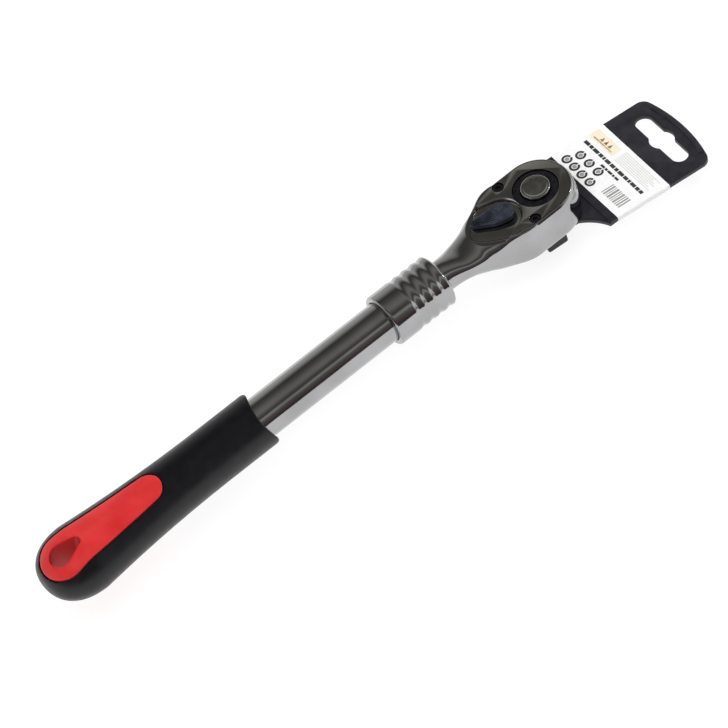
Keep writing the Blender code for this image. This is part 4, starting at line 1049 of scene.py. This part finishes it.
def maths(tree, operation, first, second=None):
    """A Math node's output, from numbers or other nodes' outputs."""
    made = tree.nodes.new("ShaderNodeMath")
    made.operation = operation
    for socket, value in zip(made.inputs, (first, second)):
        if value is None:
            continue
        if hasattr(value, "links"):
            tree.links.new(value, socket)
        else:
            socket.default_value = value
    return made.outputs[0]


def ramp_node(tree, factor, stops):
    ramp = tree.nodes.new("ShaderNodeValToRGB")
    elements = ramp.color_ramp.elements
    while len(elements) > 1:
        elements.remove(elements[-1])
    for i, (position, colour) in enumerate(stops):
        element = elements[0] if i == 0 else elements.new(position)
        element.position = position
        element.color = (*colour, 1)
    tree.links.new(factor, ramp.inputs["Fac"])
    return ramp.outputs["Color"]


def studio_world():
    """A dim studio in bands: pale far wall, dark ceiling with softer panels, and pale side walls."""
    world = bpy.data.worlds.new("studio")
    bpy.context.scene.world = world
    world.use_nodes = True
    tree = world.node_tree
    background = tree.nodes["Background"]
    coords = tree.nodes.new("ShaderNodeTexCoord")
    apart = tree.nodes.new("ShaderNodeSeparateXYZ")
    tree.links.new(coords.outputs["Generated"], apart.inputs[0])
    x, y, z = apart.outputs
    fx, fy = math.cos(ROOM_TURN), math.sin(ROOM_TURN)
    away = maths(tree, "ADD", maths(tree, "MULTIPLY", x, fx), maths(tree, "MULTIPLY", y, fy))
    across = maths(tree, "ADD", maths(tree, "MULTIPLY", x, fy), maths(tree, "MULTIPLY", y, -fx))
    up = maths(tree, "MAXIMUM", z, 0.0)
    round_angle = maths(tree, "ARCTAN2", up, maths(tree, "MULTIPLY", away, -1.0))
    share = maths(tree, "DIVIDE", round_angle, math.pi)
    main = ramp_node(
        tree,
        share,
        [
            (0.0, (0.05, 0.04, 0.042)),
            (0.06, (0.085, 0.055, 0.06)),
            (0.16, (0.13, 0.12, 0.11)),
            (0.21, (0.17, 0.165, 0.15)),
            (0.25, (0.36, 0.36, 0.34)),
            (0.28, (0.36, 0.36, 0.34)),
            (0.32, (0.09, 0.088, 0.08)),
            (0.36, (0.11, 0.105, 0.095)),
            (0.46, (0.27, 0.26, 0.245)),
            (0.54, (0.22, 0.215, 0.20)),
            (0.62, (0.13, 0.125, 0.115)),
            (0.69, (0.085, 0.082, 0.075)),
            (0.74, (0.085, 0.082, 0.075)),
            (0.79, (0.26, 0.26, 0.24)),
            (0.87, (0.52, 0.52, 0.50)),
            (1.0, (0.68, 0.68, 0.66)),
        ],
    )
    side = ramp_node(
        tree,
        up,
        [
            (0.0, (0.55, 0.55, 0.53)),
            (0.10, (0.30, 0.29, 0.26)),
            (0.22, (0.85, 0.85, 0.85)),
            (0.42, (0.95, 0.95, 0.95)),
            (0.52, (0.22, 0.21, 0.20)),
            (1.0, (0.20, 0.195, 0.18)),
        ],
    )
    lateral = maths(tree, "ABSOLUTE", across)
    share_side = tree.nodes.new("ShaderNodeMapRange")
    share_side.interpolation_type = "SMOOTHSTEP"
    share_side.inputs["From Min"].default_value = SIDE_WALL_FROM
    share_side.inputs["From Max"].default_value = SIDE_WALL_FULL
    tree.links.new(lateral, share_side.inputs["Value"])
    mix = tree.nodes.new("ShaderNodeMix")
    mix.data_type = "RGBA"
    tree.links.new(share_side.outputs["Result"], mix.inputs["Factor"])
    tree.links.new(main, mix.inputs["A"])
    tree.links.new(side, mix.inputs["B"])
    tree.links.new(mix.outputs["Result"], background.inputs["Color"])


def soft_light(name, position, target, size, power, in_reflections):
    """A round soft box aimed at a point, seen in glossy surfaces only where in_reflections is true."""
    data = bpy.data.lights.new(name, "AREA")
    data.shape = "DISK"
    data.size = size
    data.energy = power
    light = bpy.data.objects.new(name, data)
    light.location = position
    light.rotation_euler = (Vector(target) - Vector(position)).to_track_quat("-Z", "Y").to_euler()
    light.visible_glossy = in_reflections
    bpy.context.scene.collection.objects.link(light)


def camera():
    """A long lens aimed at a point left of and below the head's axis, so that the wrench fills the view."""
    right = VIEW_RIGHT
    back = right.cross(VIEW_UP).normalized()
    upward = back.cross(right)
    middle = Vector((0, 0, AXIS_Z)) + right * VIEW_ACROSS + upward * VIEW_ALONG
    data = bpy.data.cameras.new("camera")
    data.sensor_width = 36
    data.lens = data.sensor_width * CAMERA_DISTANCE / VIEW_WIDTH
    data.clip_end = 100
    obj = bpy.data.objects.new("camera", data)
    turn = Matrix((right, upward, back)).transposed()
    obj.matrix_world = Matrix.Translation(middle + back * CAMERA_DISTANCE) @ turn.to_4x4()
    bpy.context.scene.collection.objects.link(obj)
    bpy.context.scene.camera = obj


stage()
studio_world()
camera()
soft_light("key", (-0.5, -0.5, 1.3), (-0.1, 0, 0), 0.9, 14, False)
soft_light("fill", (0.6, 0.5, 1.0), (-0.1, 0, 0), 0.8, 7, False)
soft_light("window", (0.9, -0.25, 0.36), (-0.06, 0, AXIS_Z), 0.16, 1.2, True)
bpy.context.scene.view_settings.view_transform = "Standard"
